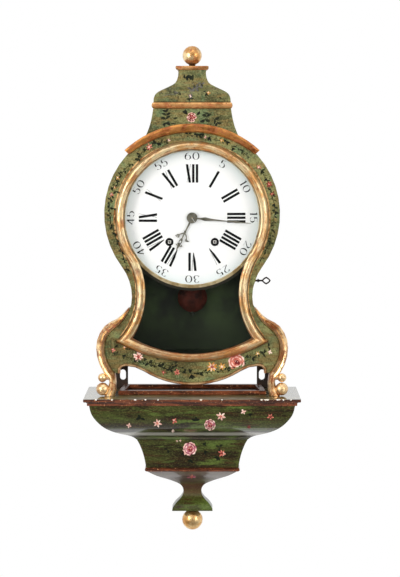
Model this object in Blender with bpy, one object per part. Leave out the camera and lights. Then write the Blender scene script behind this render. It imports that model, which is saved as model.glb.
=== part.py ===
"""Neuchatel bracket clock standing on its wall bracket. Metres, +Z up.

The wall is the plane y = 0 and the clock faces -Y. Heights that count from the top of the
bracket's shelf go through over(). Points of flat outlines are (x, z) unless a line says otherwise.
"""

from math import asin, atan2, cos, hypot, pi, radians, sin, sqrt

import bmesh
import bpy
from mathutils import Matrix, Vector

PLAY = 0.0003  # gap between pieces that touch

# Bracket: depth counts from the wall
SHELF_Z = 0.060
SHELF_HALF = 0.2000
SHELF_DEPTH = 0.190
SHELF_EDGE = 0.0060  # height of the upper step
SHELF_THICK = 0.0130
SHELF_STEP = 0.0066  # the lower step stands this far back
BRACKET_BOARD = 0.010
NECK_HALF = 0.0171
NECK_DEPTH = 0.036
BAND_TOP = 0.1425  # drops below the shelf top
BAND_LOW = 0.1499
BAND_HALF = 0.0894
PENDANT_HALF = 0.0387
PENDANT_LOW = 0.2326
BRACKET_BALL_R = 0.0198
LOCATING_FRONT_HALF = 0.1380
LOCATING_REAR_HALF = 0.1310
LOCATING_FRONT_Y = -0.1255
LOCATING_REAR_Y = -0.0200
LOCATING_RAIL = 0.0110
LOCATING_HIGH = 0.0080

# Case
BACK_BOARD_REAR = -0.0050
BACK_BOARD_THICK = 0.0090
FRONT_BOARD_REAR = -0.1273
FRONT_BOARD_FACE = -0.1400
SIDE_THICK = 0.0090
DIAL_Z = SHELF_Z + 0.3310
HEAD_Z = SHELF_Z + 0.3380
HEAD_R = 0.1625
WAIST_Z = SHELF_Z + 0.1850
WAIST_HALF = 0.1116
WAIST_LOWER_R = 0.072
BULGE_Z = SHELF_Z + 0.0900
BULGE_HALF = 0.1618
BULGE_LOWER_R = 0.068
SIDE_BULGE_HALF = 0.1722
SIDE_LOWER_R = 0.075
SIDE_WAIST_LOWER_R = 0.060
BOARD_FOOT_Z = SHELF_Z + 0.0434
BACK_BOARD_LOW = SHELF_Z + 0.0600
FLOOR_TOP = SHELF_Z + 0.0740
FLOOR_THICK = 0.0100
FLOOR_HALF = 0.1576

# Apron and feet
APRON_LOW = SHELF_Z + 0.0258
APRON_R = 0.165
APRON_CREST_X = 0.122
APRON_CREST_Z = SHELF_Z + 0.0612
APRON_END_R = 0.0150
APRON_END_X = 0.1390
APRON_BEAD = 0.0052
BEAD_PROUD = 0.0048
STRIP_TOP_Z = SHELF_Z + 0.1640
STRIP_WIDE = 0.0160
STRIP_THIN = 0.0024
STRIP_PROUD = 0.0075
FOOT_BALL_UP = (0.1668, SHELF_Z + 0.0341, 0.0084)
FOOT_BALL_LOW = (0.1664, SHELF_Z + 0.0130, 0.0122)
FOOT_BALL_Y = -0.1395
REAR_FOOT_INNER = 0.1240
REAR_FOOT_OUTER = 0.1440
REAR_FOOT_THICK = 0.0120
SLOT_X = 0.1336
SLOT_Z = SHELF_Z + 0.0250
SLOT_WIDE = 0.0116
SLOT_HIGH = 0.0210

# Arch and pediment
ARCH_UNDER = (0.0118, 0.0030)  # hangs this far over the head's edge, at the crown and at the ends
ARCH_OVER = (0.0042, 0.0088)  # and stands this far above it
ARCH_SPAN = 46.5  # degrees to each side of the top
ARCH_REAR = -0.0200
PEDIMENT_Y = -0.0800
BASE_TOP = SHELF_Z + 0.5324
BASE_TOP_HALF = 0.0720
BASE_LOW = SHELF_Z + 0.4780
BASE_LOW_HALF = 0.0872
BASE_INSET = 0.0270  # half depth is this much less than half width
BAND_HIGH = 0.0121
BAND_PROUD = 0.0028
OGEE_LOW = SHELF_Z + 0.5451
OGEE_TOP = SHELF_Z + 0.6042
OGEE_HALF = 0.0716
OGEE_NECK_HALF = 0.0260
CAP_TOP = SHELF_Z + 0.6120
CAP_HALF = 0.0307
FINIAL_R = 0.0180
FINIAL_Z = SHELF_Z + 0.6320
PEG_R = 0.0060

# Door: the glazed opening, the frame's outer edge and the board's opening behind it
DOOR_BACK = FRONT_BOARD_FACE - PLAY
DOOR_PROUD = 0.0143
RING_INNER_R = 0.1260
RING_OUTER_R = 0.1420
DOOR_WAIST_Z = SHELF_Z + 0.1920
DOOR_INNER_WAIST = 0.0860
DOOR_OUTER_WAIST = 0.1025
DOOR_INNER_CORNER = (0.1100, SHELF_Z + 0.1088)
DOOR_EAR = (0.1420, SHELF_Z + 0.1014)
DOOR_INNER_LOW = SHELF_Z + 0.0794
DOOR_OUTER_LOW = SHELF_Z + 0.0638
OPENING_R = 0.1315
OPENING_WAIST = 0.0885
OPENING_CORNER = (0.1150, SHELF_Z + 0.1050)
OPENING_LOW = SHELF_Z + 0.0745
REBATE_DEEP = 0.0049
GLASS_THICK = 0.0020
HINGE_X = -0.1465
HINGE_Y = -0.1465
HINGE_PIN_R = 0.0014
HINGE_EYE_R = 0.0032
HINGE_EYE_HIGH = 0.0060
HINGE_COLLAR_HIGH = 0.0075
HINGE_UPPER_Z = DIAL_Z - 0.0030
HINGE_LOWER_Z = SHELF_Z + 0.0984

# Lock on the right side wall
KEY_Y = -0.1100
KEY_Z = SHELF_Z + 0.2130
KEY_PROUD = 0.005880007  # the key's collar stands this far off the wall
KEY_SHANK_R = 0.0018
KEY_BIT_LONG = 0.0044
KEY_BIT_THICK = 0.0014
BOLT_X = 0.0967
BOLT_THICK = 0.0030
BOLT_REAR = KEY_Y - 0.0031
BOLT_FRONT = -0.1215
BOLT_TRAVEL = 0.0060
BOLT_TOP = SHELF_Z + 0.2215
BOLT_LOW = SHELF_Z + 0.2010
NOSE_LOW = SHELF_Z + 0.2165
TALON_HIGH = 0.0046
TALON_DEEP = 0.0018
LOCK_PLATE = 0.0028
LOCK_LOW = SHELF_Z + 0.1960
LOCK_TOP = SHELF_Z + 0.2210
CATCH_LOW = SHELF_Z + 0.2225
CATCH_HIGH = 0.0060
CATCH_HALF = 0.0027
CATCH_BORE = 0.0019
ESCUTCHEON_R = 0.0070
ESCUTCHEON_THICK = 0.0015

# Dial and hands
DIAL_R = 0.1265
DIAL_EDGE_Y = -0.1220
DIAL_DOME = 0.0080
DIAL_THICK = 0.0016
WINDING_X = 0.0420
WINDING_DROP = 0.0450
WINDING_HOLE_R = 0.0073
RIM_INNER_R = 0.1245
RIM_OUTER_R = 0.1300
RIM_FLANGE_R = 0.1360
HOUR_TURN = 206.2  # degrees clockwise from twelve
MINUTE_TURN = 95.4
HOUR_HAND_Y = -0.1338
MINUTE_HAND_Y = -0.1370
HAND_THICK = 0.0013
HUB_R = 0.0100

# Movement
PLATE_HALF = 0.080
PLATE_LOW = DIAL_Z - 0.085
PLATE_TOP = DIAL_Z + 0.100
BACK_PLATE_Y = -0.0510
FRONT_PLATE_Y = -0.1060
PLATE_THICK = 0.0030
PILLAR_R = 0.0040
PILLAR_X = 0.0720
PILLAR_DROP = 0.0780
PILLAR_RISE = 0.0900
SEAT_THICK = 0.0100
ARBOR_R = 0.0012
PIVOT_R = 0.0008
PIVOT_HOLE_R = 0.0011
WINDING_R = 0.0035
DRUM_R = 0.0300
DRUM_FRONT = -0.1000
DRUM_REAR = -0.0680
GREAT_TEETH = 48
GREAT_MODULE = 0.00135
LEAVES = 8  # of the intermediate and centre pinions
INTERMEDIATE_TEETH = 48
INTERMEDIATE_MODULE = 0.00105
CENTRE_TEETH = 60
CENTRE_MODULE = 0.00088
FINE_LEAVES = 6  # of the third and escape pinions
THIRD_TEETH = 60
THIRD_MODULE = 0.00070
THIRD_BEARING = 110.0  # degrees from +X, seen from the front
ESCAPE_TEETH = 36
ESCAPE_R = 0.0200
CANNON_LEAVES = 8
MINUTE_TEETH = 24
MINUTE_MODULE = 0.0012
MINUTE_LEAVES = 8
HOUR_TEETH = 32
HOUR_MODULE = MINUTE_MODULE * (CANNON_LEAVES + MINUTE_TEETH) / (MINUTE_LEAVES + HOUR_TEETH)
MINUTE_BEARING = 135.0
# Tooth form: height over and under the pitch line in modules, half of the tip as a share of the pitch
WHEEL = (0.85, 1.70, 0.07)
PINION = (0.70, 1.70, 0.06)
SWING_Z = DIAL_Z + 0.0930
PENDULUM_Y = -0.0320
PENDULUM_LONG = 0.2485
BOB_R = 0.0282
BOB_HALF_THICK = 0.0080
ROD_R = 0.0016
BELL_R = 0.0320
BELL_RIM_Z = DIAL_Z + 0.1120
BELL_HIGH = 0.0260
BELL_WALL = 0.0022
HAMMER_AT = (0.0520, DIAL_Z + 0.0800)
HAMMER_Y = -0.0600

# Finishes: colour, roughness, metallic
GREEN = ((0.17, 0.20, 0.08), 0.45, 0.0)
DARK_GREEN = ((0.05, 0.09, 0.02), 0.30, 0.0)
RED_BROWN = ((0.12, 0.03, 0.02), 0.40, 0.0)
GILT = ((0.80, 0.52, 0.18), 0.38, 0.7)
BARE_WOOD = ((0.18, 0.10, 0.05), 0.75, 0.0)
INSIDE_WOOD = ((0.03, 0.06, 0.03), 0.60, 0.0)
BRASS = ((0.72, 0.53, 0.22), 0.35, 1.0)
STEEL = ((0.45, 0.45, 0.47), 0.30, 1.0)
IRON = ((0.10, 0.09, 0.09), 0.55, 0.8)
ENAMEL = ((0.90, 0.90, 0.88), 0.12, 0.0)
GLASS = ((0.90, 0.93, 0.92), 0.03, 0.0)
COPPER = ((0.30, 0.09, 0.05), 0.40, 0.8)
BELL_METAL = ((0.55, 0.48, 0.34), 0.35, 1.0)
HAND_BRASS = ((0.25, 0.24, 0.18), 0.45, 0.8)

for leftover in list(bpy.data.objects):
    bpy.data.objects.remove(leftover)
CLOCK = bpy.data.collections.new("neuchatel_bracket_clock")
CUTTERS = bpy.data.collections.new("cutters")
for group in (CLOCK, CUTTERS):
    bpy.context.scene.collection.children.link(group)


def over(height):
    """Height in the world of a height over the shelf top."""
    return SHELF_Z + height


def node(name, mesh, finish, origin=(0, 0, 0)):
    """One piece of the clock, with its origin on its joint axis where it moves."""
    mesh.name = name
    mesh.transform(Matrix.Translation(-Vector(origin)))
    colour, roughness, metallic = finish
    material = bpy.data.materials.new(name)
    material.use_nodes = True
    shader = material.node_tree.nodes["Principled BSDF"]
    shader.inputs["Base Color"].default_value = (*colour, 1)
    shader.inputs["Roughness"].default_value = roughness
    shader.inputs["Metallic"].default_value = metallic
    mesh.materials.clear()
    mesh.materials.append(material)
    obj = bpy.data.objects.new(name, mesh)
    obj.location = origin
    CLOCK.objects.link(obj)
    return obj


def tool(obj, mesh, operation="DIFFERENCE"):
    """Cuts a shape out of a piece, or unites it with the piece."""
    helper = bpy.data.objects.new(f"{obj.name}_{operation.lower()}", mesh)
    helper.hide_render = True
    helper.display_type = "WIRE"
    CUTTERS.objects.link(helper)
    modifier = obj.modifiers.new(helper.name, "BOOLEAN")
    modifier.operation = operation
    modifier.solver = "EXACT"
    modifier.object = helper


def unite(obj, *meshes):
    for mesh in meshes:
        tool(obj, mesh, "UNION")


def finished(bm, name="shape"):
    bmesh.ops.remove_doubles(bm, verts=bm.verts, dist=1e-6)
    bmesh.ops.recalc_face_normals(bm, faces=bm.faces)
    mesh = bpy.data.meshes.new(name)
    bm.to_mesh(mesh)
    bm.free()
    return mesh


def slab(outline, low, high, holes=(), axis="Y"):
    """A flat outline with holes, drawn out along an axis between two values.

    The outline is (x, z) for axis Y, (x, y) for axis Z and (y, z) for axis X.
    """
    curve = bpy.data.curves.new("outline", "CURVE")
    curve.dimensions = "2D"
    curve.fill_mode = "BOTH"
    curve.extrude = (high - low) / 2
    for loop in (outline, *holes):
        spline = curve.splines.new("POLY")
        spline.points.add(len(loop) - 1)
        for point, (u, v) in zip(spline.points, loop):
            point.co = (u, v, 0, 1)
        spline.use_cyclic_u = True
    drawn = bpy.data.objects.new("outline", curve)
    flat = bpy.data.meshes.new_from_object(drawn)
    bpy.data.objects.remove(drawn)
    turn = {
        "X": Matrix(((0, 0, 1, 0), (1, 0, 0, 0), (0, 1, 0, 0), (0, 0, 0, 1))),
        "Y": Matrix(((1, 0, 0, 0), (0, 0, -1, 0), (0, 1, 0, 0), (0, 0, 0, 1))),
        "Z": Matrix.Identity(4),
    }[axis]
    middle = Vector([(low + high) / 2 if axis == a else 0 for a in "XYZ"])
    flat.transform(Matrix.Translation(middle) @ turn)
    bm = bmesh.new()
    bm.from_mesh(flat)
    return finished(bm)


def turned(profile, axis="Y", at=(0, 0, 0), steps=16, ring=False):
    """A profile of (radius, distance along the axis) turned round the axis through a point."""
    turn = {
        "X": Matrix.Rotation(pi / 2, 4, "Y"),
        "Y": Matrix.Rotation(-pi / 2, 4, "X"),
        "Z": Matrix.Identity(4),
    }[axis]
    bm = bmesh.new()
    points = [bm.verts.new((r, 0, along)) for r, along in profile]
    pairs = list(zip(points, points[1:]))
    if ring:
        pairs.append((points[-1], points[0]))
    edges = [bm.edges.new(pair) for pair in pairs]
    bmesh.ops.spin(
        bm, geom=points + edges, cent=(0, 0, 0), axis=(0, 0, 1), angle=2 * pi, steps=steps, use_merge=True
    )
    bm.transform(Matrix.Translation(at) @ turn)
    return finished(bm)


def loft(rings, closed=False):
    """Skin over loops that have the same number of points."""
    bm = bmesh.new()
    loops = [[bm.verts.new(p) for p in ring] for ring in rings]
    pairs = list(zip(loops, loops[1:]))
    if closed:
        pairs.append((loops[-1], loops[0]))
    else:
        bm.faces.new(loops[0])
        bm.faces.new(loops[-1])
    for one, two in pairs:
        for k in range(len(one)):
            n = (k + 1) % len(one)
            bm.faces.new((one[k], one[n], two[n], two[k]))
    return finished(bm)


def box(low, high):
    bm = bmesh.new()
    size = [b - a for a, b in zip(low, high)]
    middle = [(a + b) / 2 for a, b in zip(low, high)]
    bmesh.ops.create_cube(bm, size=1, matrix=Matrix.Translation(middle) @ Matrix.Diagonal((*size, 1)))
    return finished(bm)


def ball(centre, radius, around=12, rings=7):
    bm = bmesh.new()
    place = Matrix.Translation(centre)
    bmesh.ops.create_uvsphere(bm, u_segments=around, v_segments=rings, radius=radius, matrix=place)
    return finished(bm)


def pin(start, end, radius, around=12):
    """A plain round bar from point to point."""
    start, end = Vector(start), Vector(end)
    along = end - start
    turn = along.to_track_quat("Z", "Y").to_matrix().to_4x4()
    bm = bmesh.new()
    bmesh.ops.create_cone(
        bm,
        cap_ends=True,
        segments=around,
        radius1=radius,
        radius2=radius,
        depth=along.length,
        matrix=Matrix.Translation((start + end) / 2) @ turn,
    )
    return finished(bm)


def mirrored(mesh):
    copy = mesh.copy()
    copy.transform(Matrix.Diagonal((-1, 1, 1, 1)))
    copy.flip_normals()
    return copy


def arc(x, z, radius, start, end, steps):
    """Points on an arc; angles in radians, counted from +X towards +Z."""
    return [
        (x + radius * cos(start + (end - start) * k / steps), z + radius * sin(start + (end - start) * k / steps))
        for k in range(steps + 1)
    ]


def circle(x, z, radius, steps):
    return arc(x, z, radius, 0, 2 * pi, steps)[:-1]


def chain(*runs):
    """Runs of points joined, without the doubled points where they meet."""
    joined = [runs[0][0]]
    for run in runs:
        joined += [p for p in run if hypot(p[0] - joined[-1][0], p[1] - joined[-1][1]) > 1e-6]
    return joined


def both_sides(half):
    """A closed outline from its right half, which runs from top to bottom."""
    left = [(-x, z) for x, z in reversed(half) if abs(x) > 1e-6]
    return half + left


def smooth(points, steps):
    """A rounded run through a few points."""
    ends = [points[0], *points, points[-1]]
    run = [points[0]]
    for a, b, c, d in zip(ends, ends[1:], ends[2:], ends[3:]):
        for k in range(1, steps + 1):
            t = k / steps
            run.append(
                tuple(
                    b[i]
                    + 0.5 * t * (c[i] - a[i] + t * (2 * a[i] - 5 * b[i] + 4 * c[i] - d[i]))
                    + 0.5 * t**3 * (3 * (b[i] - c[i]) + d[i] - a[i])
                    for i in range(len(b))
                )
            )
    return run


def head_and_waist(head_r, head_z, waist_half, waist_z, head_steps, waist_steps):
    """From the crown round a circle and on round the arc that meets it and touches the waist."""
    rise = head_z - waist_z
    waist_r = (waist_half**2 + rise**2 - head_r**2) / (2 * (head_r - waist_half))
    meet = atan2(-rise, waist_half + waist_r)
    head = arc(0, head_z, head_r, pi / 2, meet, head_steps)
    waist = arc(waist_half + waist_r, waist_z, waist_r, meet + pi, pi, waist_steps)
    return chain(head, waist)


def case_half(head_r, waist_half, lower_r, bulge_half, foot_r, foot_z):
    """Right half of the case's outline, from the crown down to the foot."""
    rise = WAIST_Z - BULGE_Z
    inset = waist_half + lower_r - bulge_half
    bulge_r = (inset**2 + rise**2 - lower_r**2) / (2 * (lower_r - inset))
    meet = atan2(rise, inset + bulge_r)
    return chain(
        head_and_waist(head_r, HEAD_Z, waist_half, WAIST_Z, 16, 4),
        arc(waist_half + lower_r, WAIST_Z, lower_r, pi, pi + meet, 5),
        arc(bulge_half - bulge_r, BULGE_Z, bulge_r, meet, 0, 4),
        arc(bulge_half - foot_r, BULGE_Z, foot_r, 0, -asin((BULGE_Z - foot_z) / foot_r), 4),
    )


def door_half(ring_r, waist_half, corner, low):
    """Right half of an outline of the door, from the crown to the middle of the lower edge."""
    reach = corner[0] - waist_half
    drop = DOOR_WAIST_Z - corner[1]
    lower_r = (reach**2 + drop**2) / (2 * reach)
    end = pi + asin(drop / lower_r)
    sag = corner[1] - low
    floor_r = (corner[0] ** 2 + sag**2) / (2 * sag)
    spread = asin(corner[0] / floor_r)
    return chain(
        head_and_waist(ring_r, DIAL_Z, waist_half, DOOR_WAIST_Z, 16, 4),
        arc(waist_half + lower_r, DOOR_WAIST_Z, lower_r, pi, end, 5),
        arc(0, low + floor_r, floor_r, spread - pi / 2, -pi / 2, 6),
    )


def mitred(sections, rear):
    """A block with mitred front corners from (half width, depth, z) sections."""
    return loft([[(-w, rear, z), (-w, -d, z), (w, -d, z), (w, rear, z)] for w, d, z in sections])


def hipped(sections):
    """A four sided block about the pediment's middle from (half width, half depth, z) sections."""
    y = PEDIMENT_Y
    return loft([[(-w, y + d, z), (-w, y - d, z), (w, y - d, z), (w, y + d, z)] for w, d, z in sections])


def bracket_depth(half):
    """The bracket's front narrows with its sides."""
    return NECK_DEPTH + (half - NECK_HALF) * (SHELF_DEPTH - NECK_DEPTH) / (SHELF_HALF - NECK_HALF)


# Wall bracket
step_half = SHELF_HALF - SHELF_STEP
step_depth = SHELF_DEPTH - SHELF_STEP
shelf = [
    (SHELF_HALF - 0.0006, SHELF_DEPTH - 0.0006, SHELF_Z),
    (SHELF_HALF, SHELF_DEPTH, SHELF_Z - 0.0008),
    (SHELF_HALF, SHELF_DEPTH, SHELF_Z - SHELF_EDGE + 0.0008),
    (SHELF_HALF - 0.0012, SHELF_DEPTH - 0.0012, SHELF_Z - SHELF_EDGE),
    (step_half + 0.0022, step_depth + 0.0022, SHELF_Z - SHELF_EDGE - 0.0004),
    (step_half, step_depth, SHELF_Z - SHELF_EDGE - 0.0024),
    (step_half, step_depth, SHELF_Z - SHELF_THICK),
]
node("bracket_shelf", mitred(shelf, 0), RED_BROWN)

rail = LOCATING_RAIL
front_half, rear_half = LOCATING_FRONT_HALF, LOCATING_REAR_HALF
locating = slab(
    [
        (-front_half, LOCATING_FRONT_Y),
        (front_half, LOCATING_FRONT_Y),
        (rear_half, LOCATING_REAR_Y),
        (-rear_half, LOCATING_REAR_Y),
    ],
    SHELF_Z + PLAY,
    SHELF_Z + LOCATING_HIGH,
    holes=[
        [
            (-front_half + rail, LOCATING_FRONT_Y + rail),
            (front_half - rail, LOCATING_FRONT_Y + rail),
            (rear_half - rail, LOCATING_REAR_Y - rail),
            (-rear_half + rail, LOCATING_REAR_Y - rail),
        ]
    ],
    axis="Z",
)
node("bracket_locating_frame", locating, RED_BROWN)

# Half widths and drops under the shelf top
bowl_line = [
    (0.1896, 0.0133),
    (0.1842, 0.0322),
    (0.1675, 0.0533),
    (0.1452, 0.0675),
    (0.1152, 0.0786),
    (0.1042, 0.0866),
]
upper = smooth(bowl_line, 4)
lower = smooth([(0.1039, 0.0869), (0.0980, 0.0990), (0.0914, 0.1191), (0.0870, BAND_TOP - PLAY)], 4)
pendant = smooth(
    [
        (0.0840, BAND_LOW + PLAY),
        (0.0672, 0.1607),
        (0.0404, 0.1729),
        (0.0222, 0.1842),
        (NECK_HALF, 0.1972),
        (0.0214, 0.2082),
        (0.0314, 0.2182),
        (PENDANT_HALF - 0.0010, 0.2270),
        (PENDANT_HALF, PENDANT_LOW),
    ],
    4,
)
board_front = -BRACKET_BOARD - PLAY
for name, run in (("bracket_upper_body", upper), ("bracket_lower_body", lower), ("bracket_pendant", pendant)):
    node(name, mitred([(w, bracket_depth(w), SHELF_Z - d) for w, d in run], board_front), DARK_GREEN)
band_depth = bracket_depth(BAND_HALF)
band = [
    (BAND_HALF - 0.0020, band_depth - 0.0020, SHELF_Z - BAND_TOP),
    (BAND_HALF, band_depth, SHELF_Z - BAND_TOP - 0.0020),
    (BAND_HALF, band_depth, SHELF_Z - BAND_LOW + 0.0020),
    (BAND_HALF - 0.0030, band_depth - 0.0030, SHELF_Z - BAND_LOW),
]
node("bracket_band", mitred(band, board_front), RED_BROWN)
board_inset = 0.004
board_half = [(w - board_inset, SHELF_Z - d - PLAY) for w, d in upper[::2] + lower[::2] + pendant[::2]]
back_outline = board_half + [(-x, z) for x, z in reversed(board_half)]
node("bracket_back_board", slab(back_outline, -BRACKET_BOARD, 0), BARE_WOOD)
ball_y = -(BRACKET_BOARD + bracket_depth(PENDANT_HALF)) / 2
ball_z = SHELF_Z - PENDANT_LOW - PLAY - BRACKET_BALL_R
node("bracket_ball", ball((0, ball_y, ball_z), BRACKET_BALL_R, 16, 10), GILT)

# Case boards
front_half_line = case_half(HEAD_R, WAIST_HALF, WAIST_LOWER_R, BULGE_HALF, BULGE_LOWER_R, BOARD_FOOT_Z)
crest_r = (APRON_CREST_X**2 + (APRON_LOW + APRON_R - APRON_CREST_Z) ** 2 - APRON_R**2) / (
    2 * (APRON_R - (APRON_LOW + APRON_R - APRON_CREST_Z))
)
crest_turn = atan2(APRON_LOW + APRON_R - APRON_CREST_Z + crest_r, APRON_CREST_X)
end_centre = (APRON_END_X - APRON_END_R, APRON_CREST_Z - APRON_END_R)
apron_half = chain(
    arc(*end_centre, APRON_END_R, radians(-12), pi / 2, 3),
    arc(APRON_CREST_X, APRON_CREST_Z - crest_r, crest_r, pi / 2, pi - crest_turn, 2),
    arc(0, APRON_LOW + APRON_R, APRON_R, -crest_turn, -pi / 2, 6),
)
opening = both_sides(door_half(OPENING_R, OPENING_WAIST, OPENING_CORNER, OPENING_LOW))
front_board = node(
    "case_front_board",
    slab(both_sides(chain(front_half_line, apron_half)), FRONT_BOARD_FACE, FRONT_BOARD_REAR, holes=[opening]),
    GREEN,
)
side_sizes = (HEAD_R - PLAY, WAIST_HALF - PLAY, SIDE_WAIST_LOWER_R, SIDE_BULGE_HALF, SIDE_LOWER_R)
t = SIDE_THICK
side_outer = case_half(*side_sizes, BOARD_FOOT_Z)
side_inner = case_half(
    side_sizes[0] - t, side_sizes[1] - t, side_sizes[2] + t, side_sizes[3] - t, side_sizes[4] - t, BOARD_FOOT_Z
)


def wall_inside(z):
    """Half the width between the case's sides at a height."""
    for (x0, z0), (x1, z1) in zip(side_inner, side_inner[1:]):
        if z1 <= z <= z0:
            return x1 + (x0 - x1) * (z - z1) / (z0 - z1)


side_outer[0] = (PLAY / 2, side_outer[0][1])
side_inner[0] = (PLAY / 2, side_inner[0][1])
side = slab(side_outer + side_inner[::-1], FRONT_BOARD_REAR + PLAY, BACK_BOARD_REAR - BACK_BOARD_THICK - PLAY)
node("case_left_side", mirrored(side), GREEN)
right_side = node("case_right_side", side, GREEN)
back_line = case_half(*side_sizes, BACK_BOARD_LOW)
back_front = BACK_BOARD_REAR - BACK_BOARD_THICK
node("case_back_board", slab(both_sides(back_line), back_front, BACK_BOARD_REAR), INSIDE_WOOD)
floor = box(
    (-FLOOR_HALF, FRONT_BOARD_REAR + PLAY, FLOOR_TOP - FLOOR_THICK), (FLOOR_HALF, back_front - PLAY, FLOOR_TOP)
)
node("case_floor", floor, INSIDE_WOOD)

# Gilt bead under the apron
bead_rings = []
for k, (x, z) in enumerate(apron_half):
    before, after = apron_half[max(k - 1, 0)], apron_half[min(k + 1, len(apron_half) - 1)]
    dx, dz = after[0] - before[0], after[1] - before[1]
    if k == len(apron_half) - 1:
        dx, dz = -1, 0
    length = hypot(dx, dz)
    nx, nz = -dz / length, dx / length
    face = FRONT_BOARD_FACE
    profile = (
        (PLAY, FRONT_BOARD_REAR),
        (PLAY, face - 0.55 * BEAD_PROUD),
        (0.30 * APRON_BEAD, face - BEAD_PROUD),
        (0.70 * APRON_BEAD, face - BEAD_PROUD),
        (APRON_BEAD, face - 0.45 * BEAD_PROUD),
        (APRON_BEAD, FRONT_BOARD_REAR),
    )
    bead_rings.append([(x + nx * s, y, z + nz * s) for s, y in profile])
bead_left = [[(-x, y, z) for x, y, z in ring] for ring in bead_rings[-2::-1]]
node("apron_moulding", loft(bead_rings + bead_left), GILT)

# Gilt corner strip that runs down into a scroll foot
path = [p for p in front_half_line if p[1] < STRIP_TOP_Z]
last = front_half_line[front_half_line.index(path[0]) - 1]
share = (STRIP_TOP_Z - path[0][1]) / (last[1] - path[0][1])
path.insert(0, (path[0][0] + (last[0] - path[0][0]) * share, STRIP_TOP_Z))
edge_pairs = []
for k, (x, z) in enumerate(path):
    before, after = path[max(k - 1, 0)], path[min(k + 1, len(path) - 1)]
    dx, dz = after[0] - before[0], after[1] - before[1]
    length = hypot(dx, dz)
    nx, nz = -dz / length, dx / length
    share = min(1, k / (0.34 * len(path)))
    wide = STRIP_THIN + (STRIP_WIDE - STRIP_THIN) * share
    edge_pairs.append(((x + PLAY * 2 * nx, z + PLAY * 2 * nz), (x + (PLAY + wide) * nx, z + (PLAY + wide) * nz)))
edge_pairs += [
    ((0.1419, over(0.0360)), (0.1562, over(0.0375))),
    ((0.1409, over(0.0250)), (0.1540, over(0.0255))),
    ((0.1412, over(0.0110)), (0.1572, over(0.0130))),
    ((0.1440, over(PLAY)), (0.1632, over(PLAY))),
]
strip_profile = (
    (0, FRONT_BOARD_REAR),
    (0, FRONT_BOARD_FACE - 0.35 * STRIP_PROUD),
    (0.16, FRONT_BOARD_FACE - 0.95 * STRIP_PROUD),
    (0.40, FRONT_BOARD_FACE - STRIP_PROUD),
    (0.54, FRONT_BOARD_FACE - 0.60 * STRIP_PROUD),
    (0.78, FRONT_BOARD_FACE - 0.85 * STRIP_PROUD),
    (1, FRONT_BOARD_FACE - 0.20 * STRIP_PROUD),
    (1, FRONT_BOARD_REAR),
)
strip = loft(
    [[(a[0] + (b[0] - a[0]) * s, y, a[1] + (b[1] - a[1]) * s) for s, y in strip_profile] for a, b in edge_pairs]
)
foot_balls = [ball((x, FOOT_BALL_Y, z), r) for x, z, r in (FOOT_BALL_UP, FOOT_BALL_LOW)]
link = pin((0.1490, FOOT_BALL_Y, over(0.0341)), (0.1630, FOOT_BALL_Y, over(0.0341)), 0.0040)
for name, flip in (("left_scroll_foot", True), ("right_scroll_foot", False)):
    parts = [strip, *foot_balls, link]
    parts = [mirrored(p) if flip else p.copy() for p in parts]
    unite(node(name, parts[0], GILT), *parts[1:])
slot_rise = (SLOT_HIGH - SLOT_WIDE) / 2
slot = arc(SLOT_X, SLOT_Z + slot_rise, SLOT_WIDE / 2, 0, pi, 6)
slot += arc(SLOT_X, SLOT_Z - slot_rise, SLOT_WIDE / 2, pi, 2 * pi, 6)
rear_foot = slab(
    [
        (REAR_FOOT_INNER, over(PLAY)),
        (REAR_FOOT_OUTER, over(PLAY)),
        (REAR_FOOT_OUTER, BACK_BOARD_LOW - PLAY),
        (REAR_FOOT_INNER, BACK_BOARD_LOW - PLAY),
    ],
    BACK_BOARD_REAR - REAR_FOOT_THICK,
    BACK_BOARD_REAR,
    holes=[slot],
)
node("left_rear_foot", mirrored(rear_foot), BARE_WOOD)
node("right_rear_foot", rear_foot, BARE_WOOD)

# Arch moulding and pediment
arch_rings = []
arch_back = []
for k in range(21):
    side = 1 - k / 10
    a = radians(90 + ARCH_SPAN * side)
    inner, outer = (at[0] + (at[1] - at[0]) * side**2 for at in (ARCH_UNDER, ARCH_OVER))
    inner, outer = HEAD_R - inner, HEAD_R + outer
    arch_profile = (
        (inner, FRONT_BOARD_FACE - PLAY),
        (inner, FRONT_BOARD_FACE - 0.0050),
        (inner + 0.16 * (outer - inner), FRONT_BOARD_FACE - 0.0105),
        (inner + 0.70 * (outer - inner), FRONT_BOARD_FACE - 0.0145),
        (outer, FRONT_BOARD_FACE - 0.0130),
        (outer, ARCH_REAR),
        (HEAD_R + PLAY, ARCH_REAR),
        (HEAD_R + PLAY, FRONT_BOARD_FACE - PLAY),
    )
    arch_rings.append([(r * cos(a), y, HEAD_Z + r * sin(a)) for r, y in arch_profile])
    arch_back.append(((outer + PLAY) * cos(a), HEAD_Z + (outer + PLAY) * sin(a)))
node("arch_moulding", loft(arch_rings), GILT)
base_line = smooth(
    [(BASE_LOW_HALF, BASE_LOW), (0.0796, over(0.4970)), (0.0748, over(0.5150)), (BASE_TOP_HALF, BASE_TOP)], 3
)
pediment_base = node("pediment_base", hipped([(w, w - BASE_INSET, z) for w, z in base_line]), GREEN)
under_arch = [*arch_back, (arch_back[-1][0], BASE_LOW - 0.05), (arch_back[0][0], BASE_LOW - 0.05)]
tool(pediment_base, slab(under_arch, -0.2, 0.05))
band_half = BASE_TOP_HALF
band_line = (
    (band_half - 0.0005, BASE_TOP + PLAY),
    (band_half + 0.7 * BAND_PROUD, BASE_TOP + 0.0022),
    (band_half + BAND_PROUD, BASE_TOP + BAND_HIGH / 2),
    (band_half + 0.7 * BAND_PROUD, BASE_TOP + BAND_HIGH - 0.0022),
    (band_half - 0.0005, BASE_TOP + BAND_HIGH),
)
node("pediment_band", hipped([(w, w - BASE_INSET, z) for w, z in band_line]), GILT)
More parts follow.
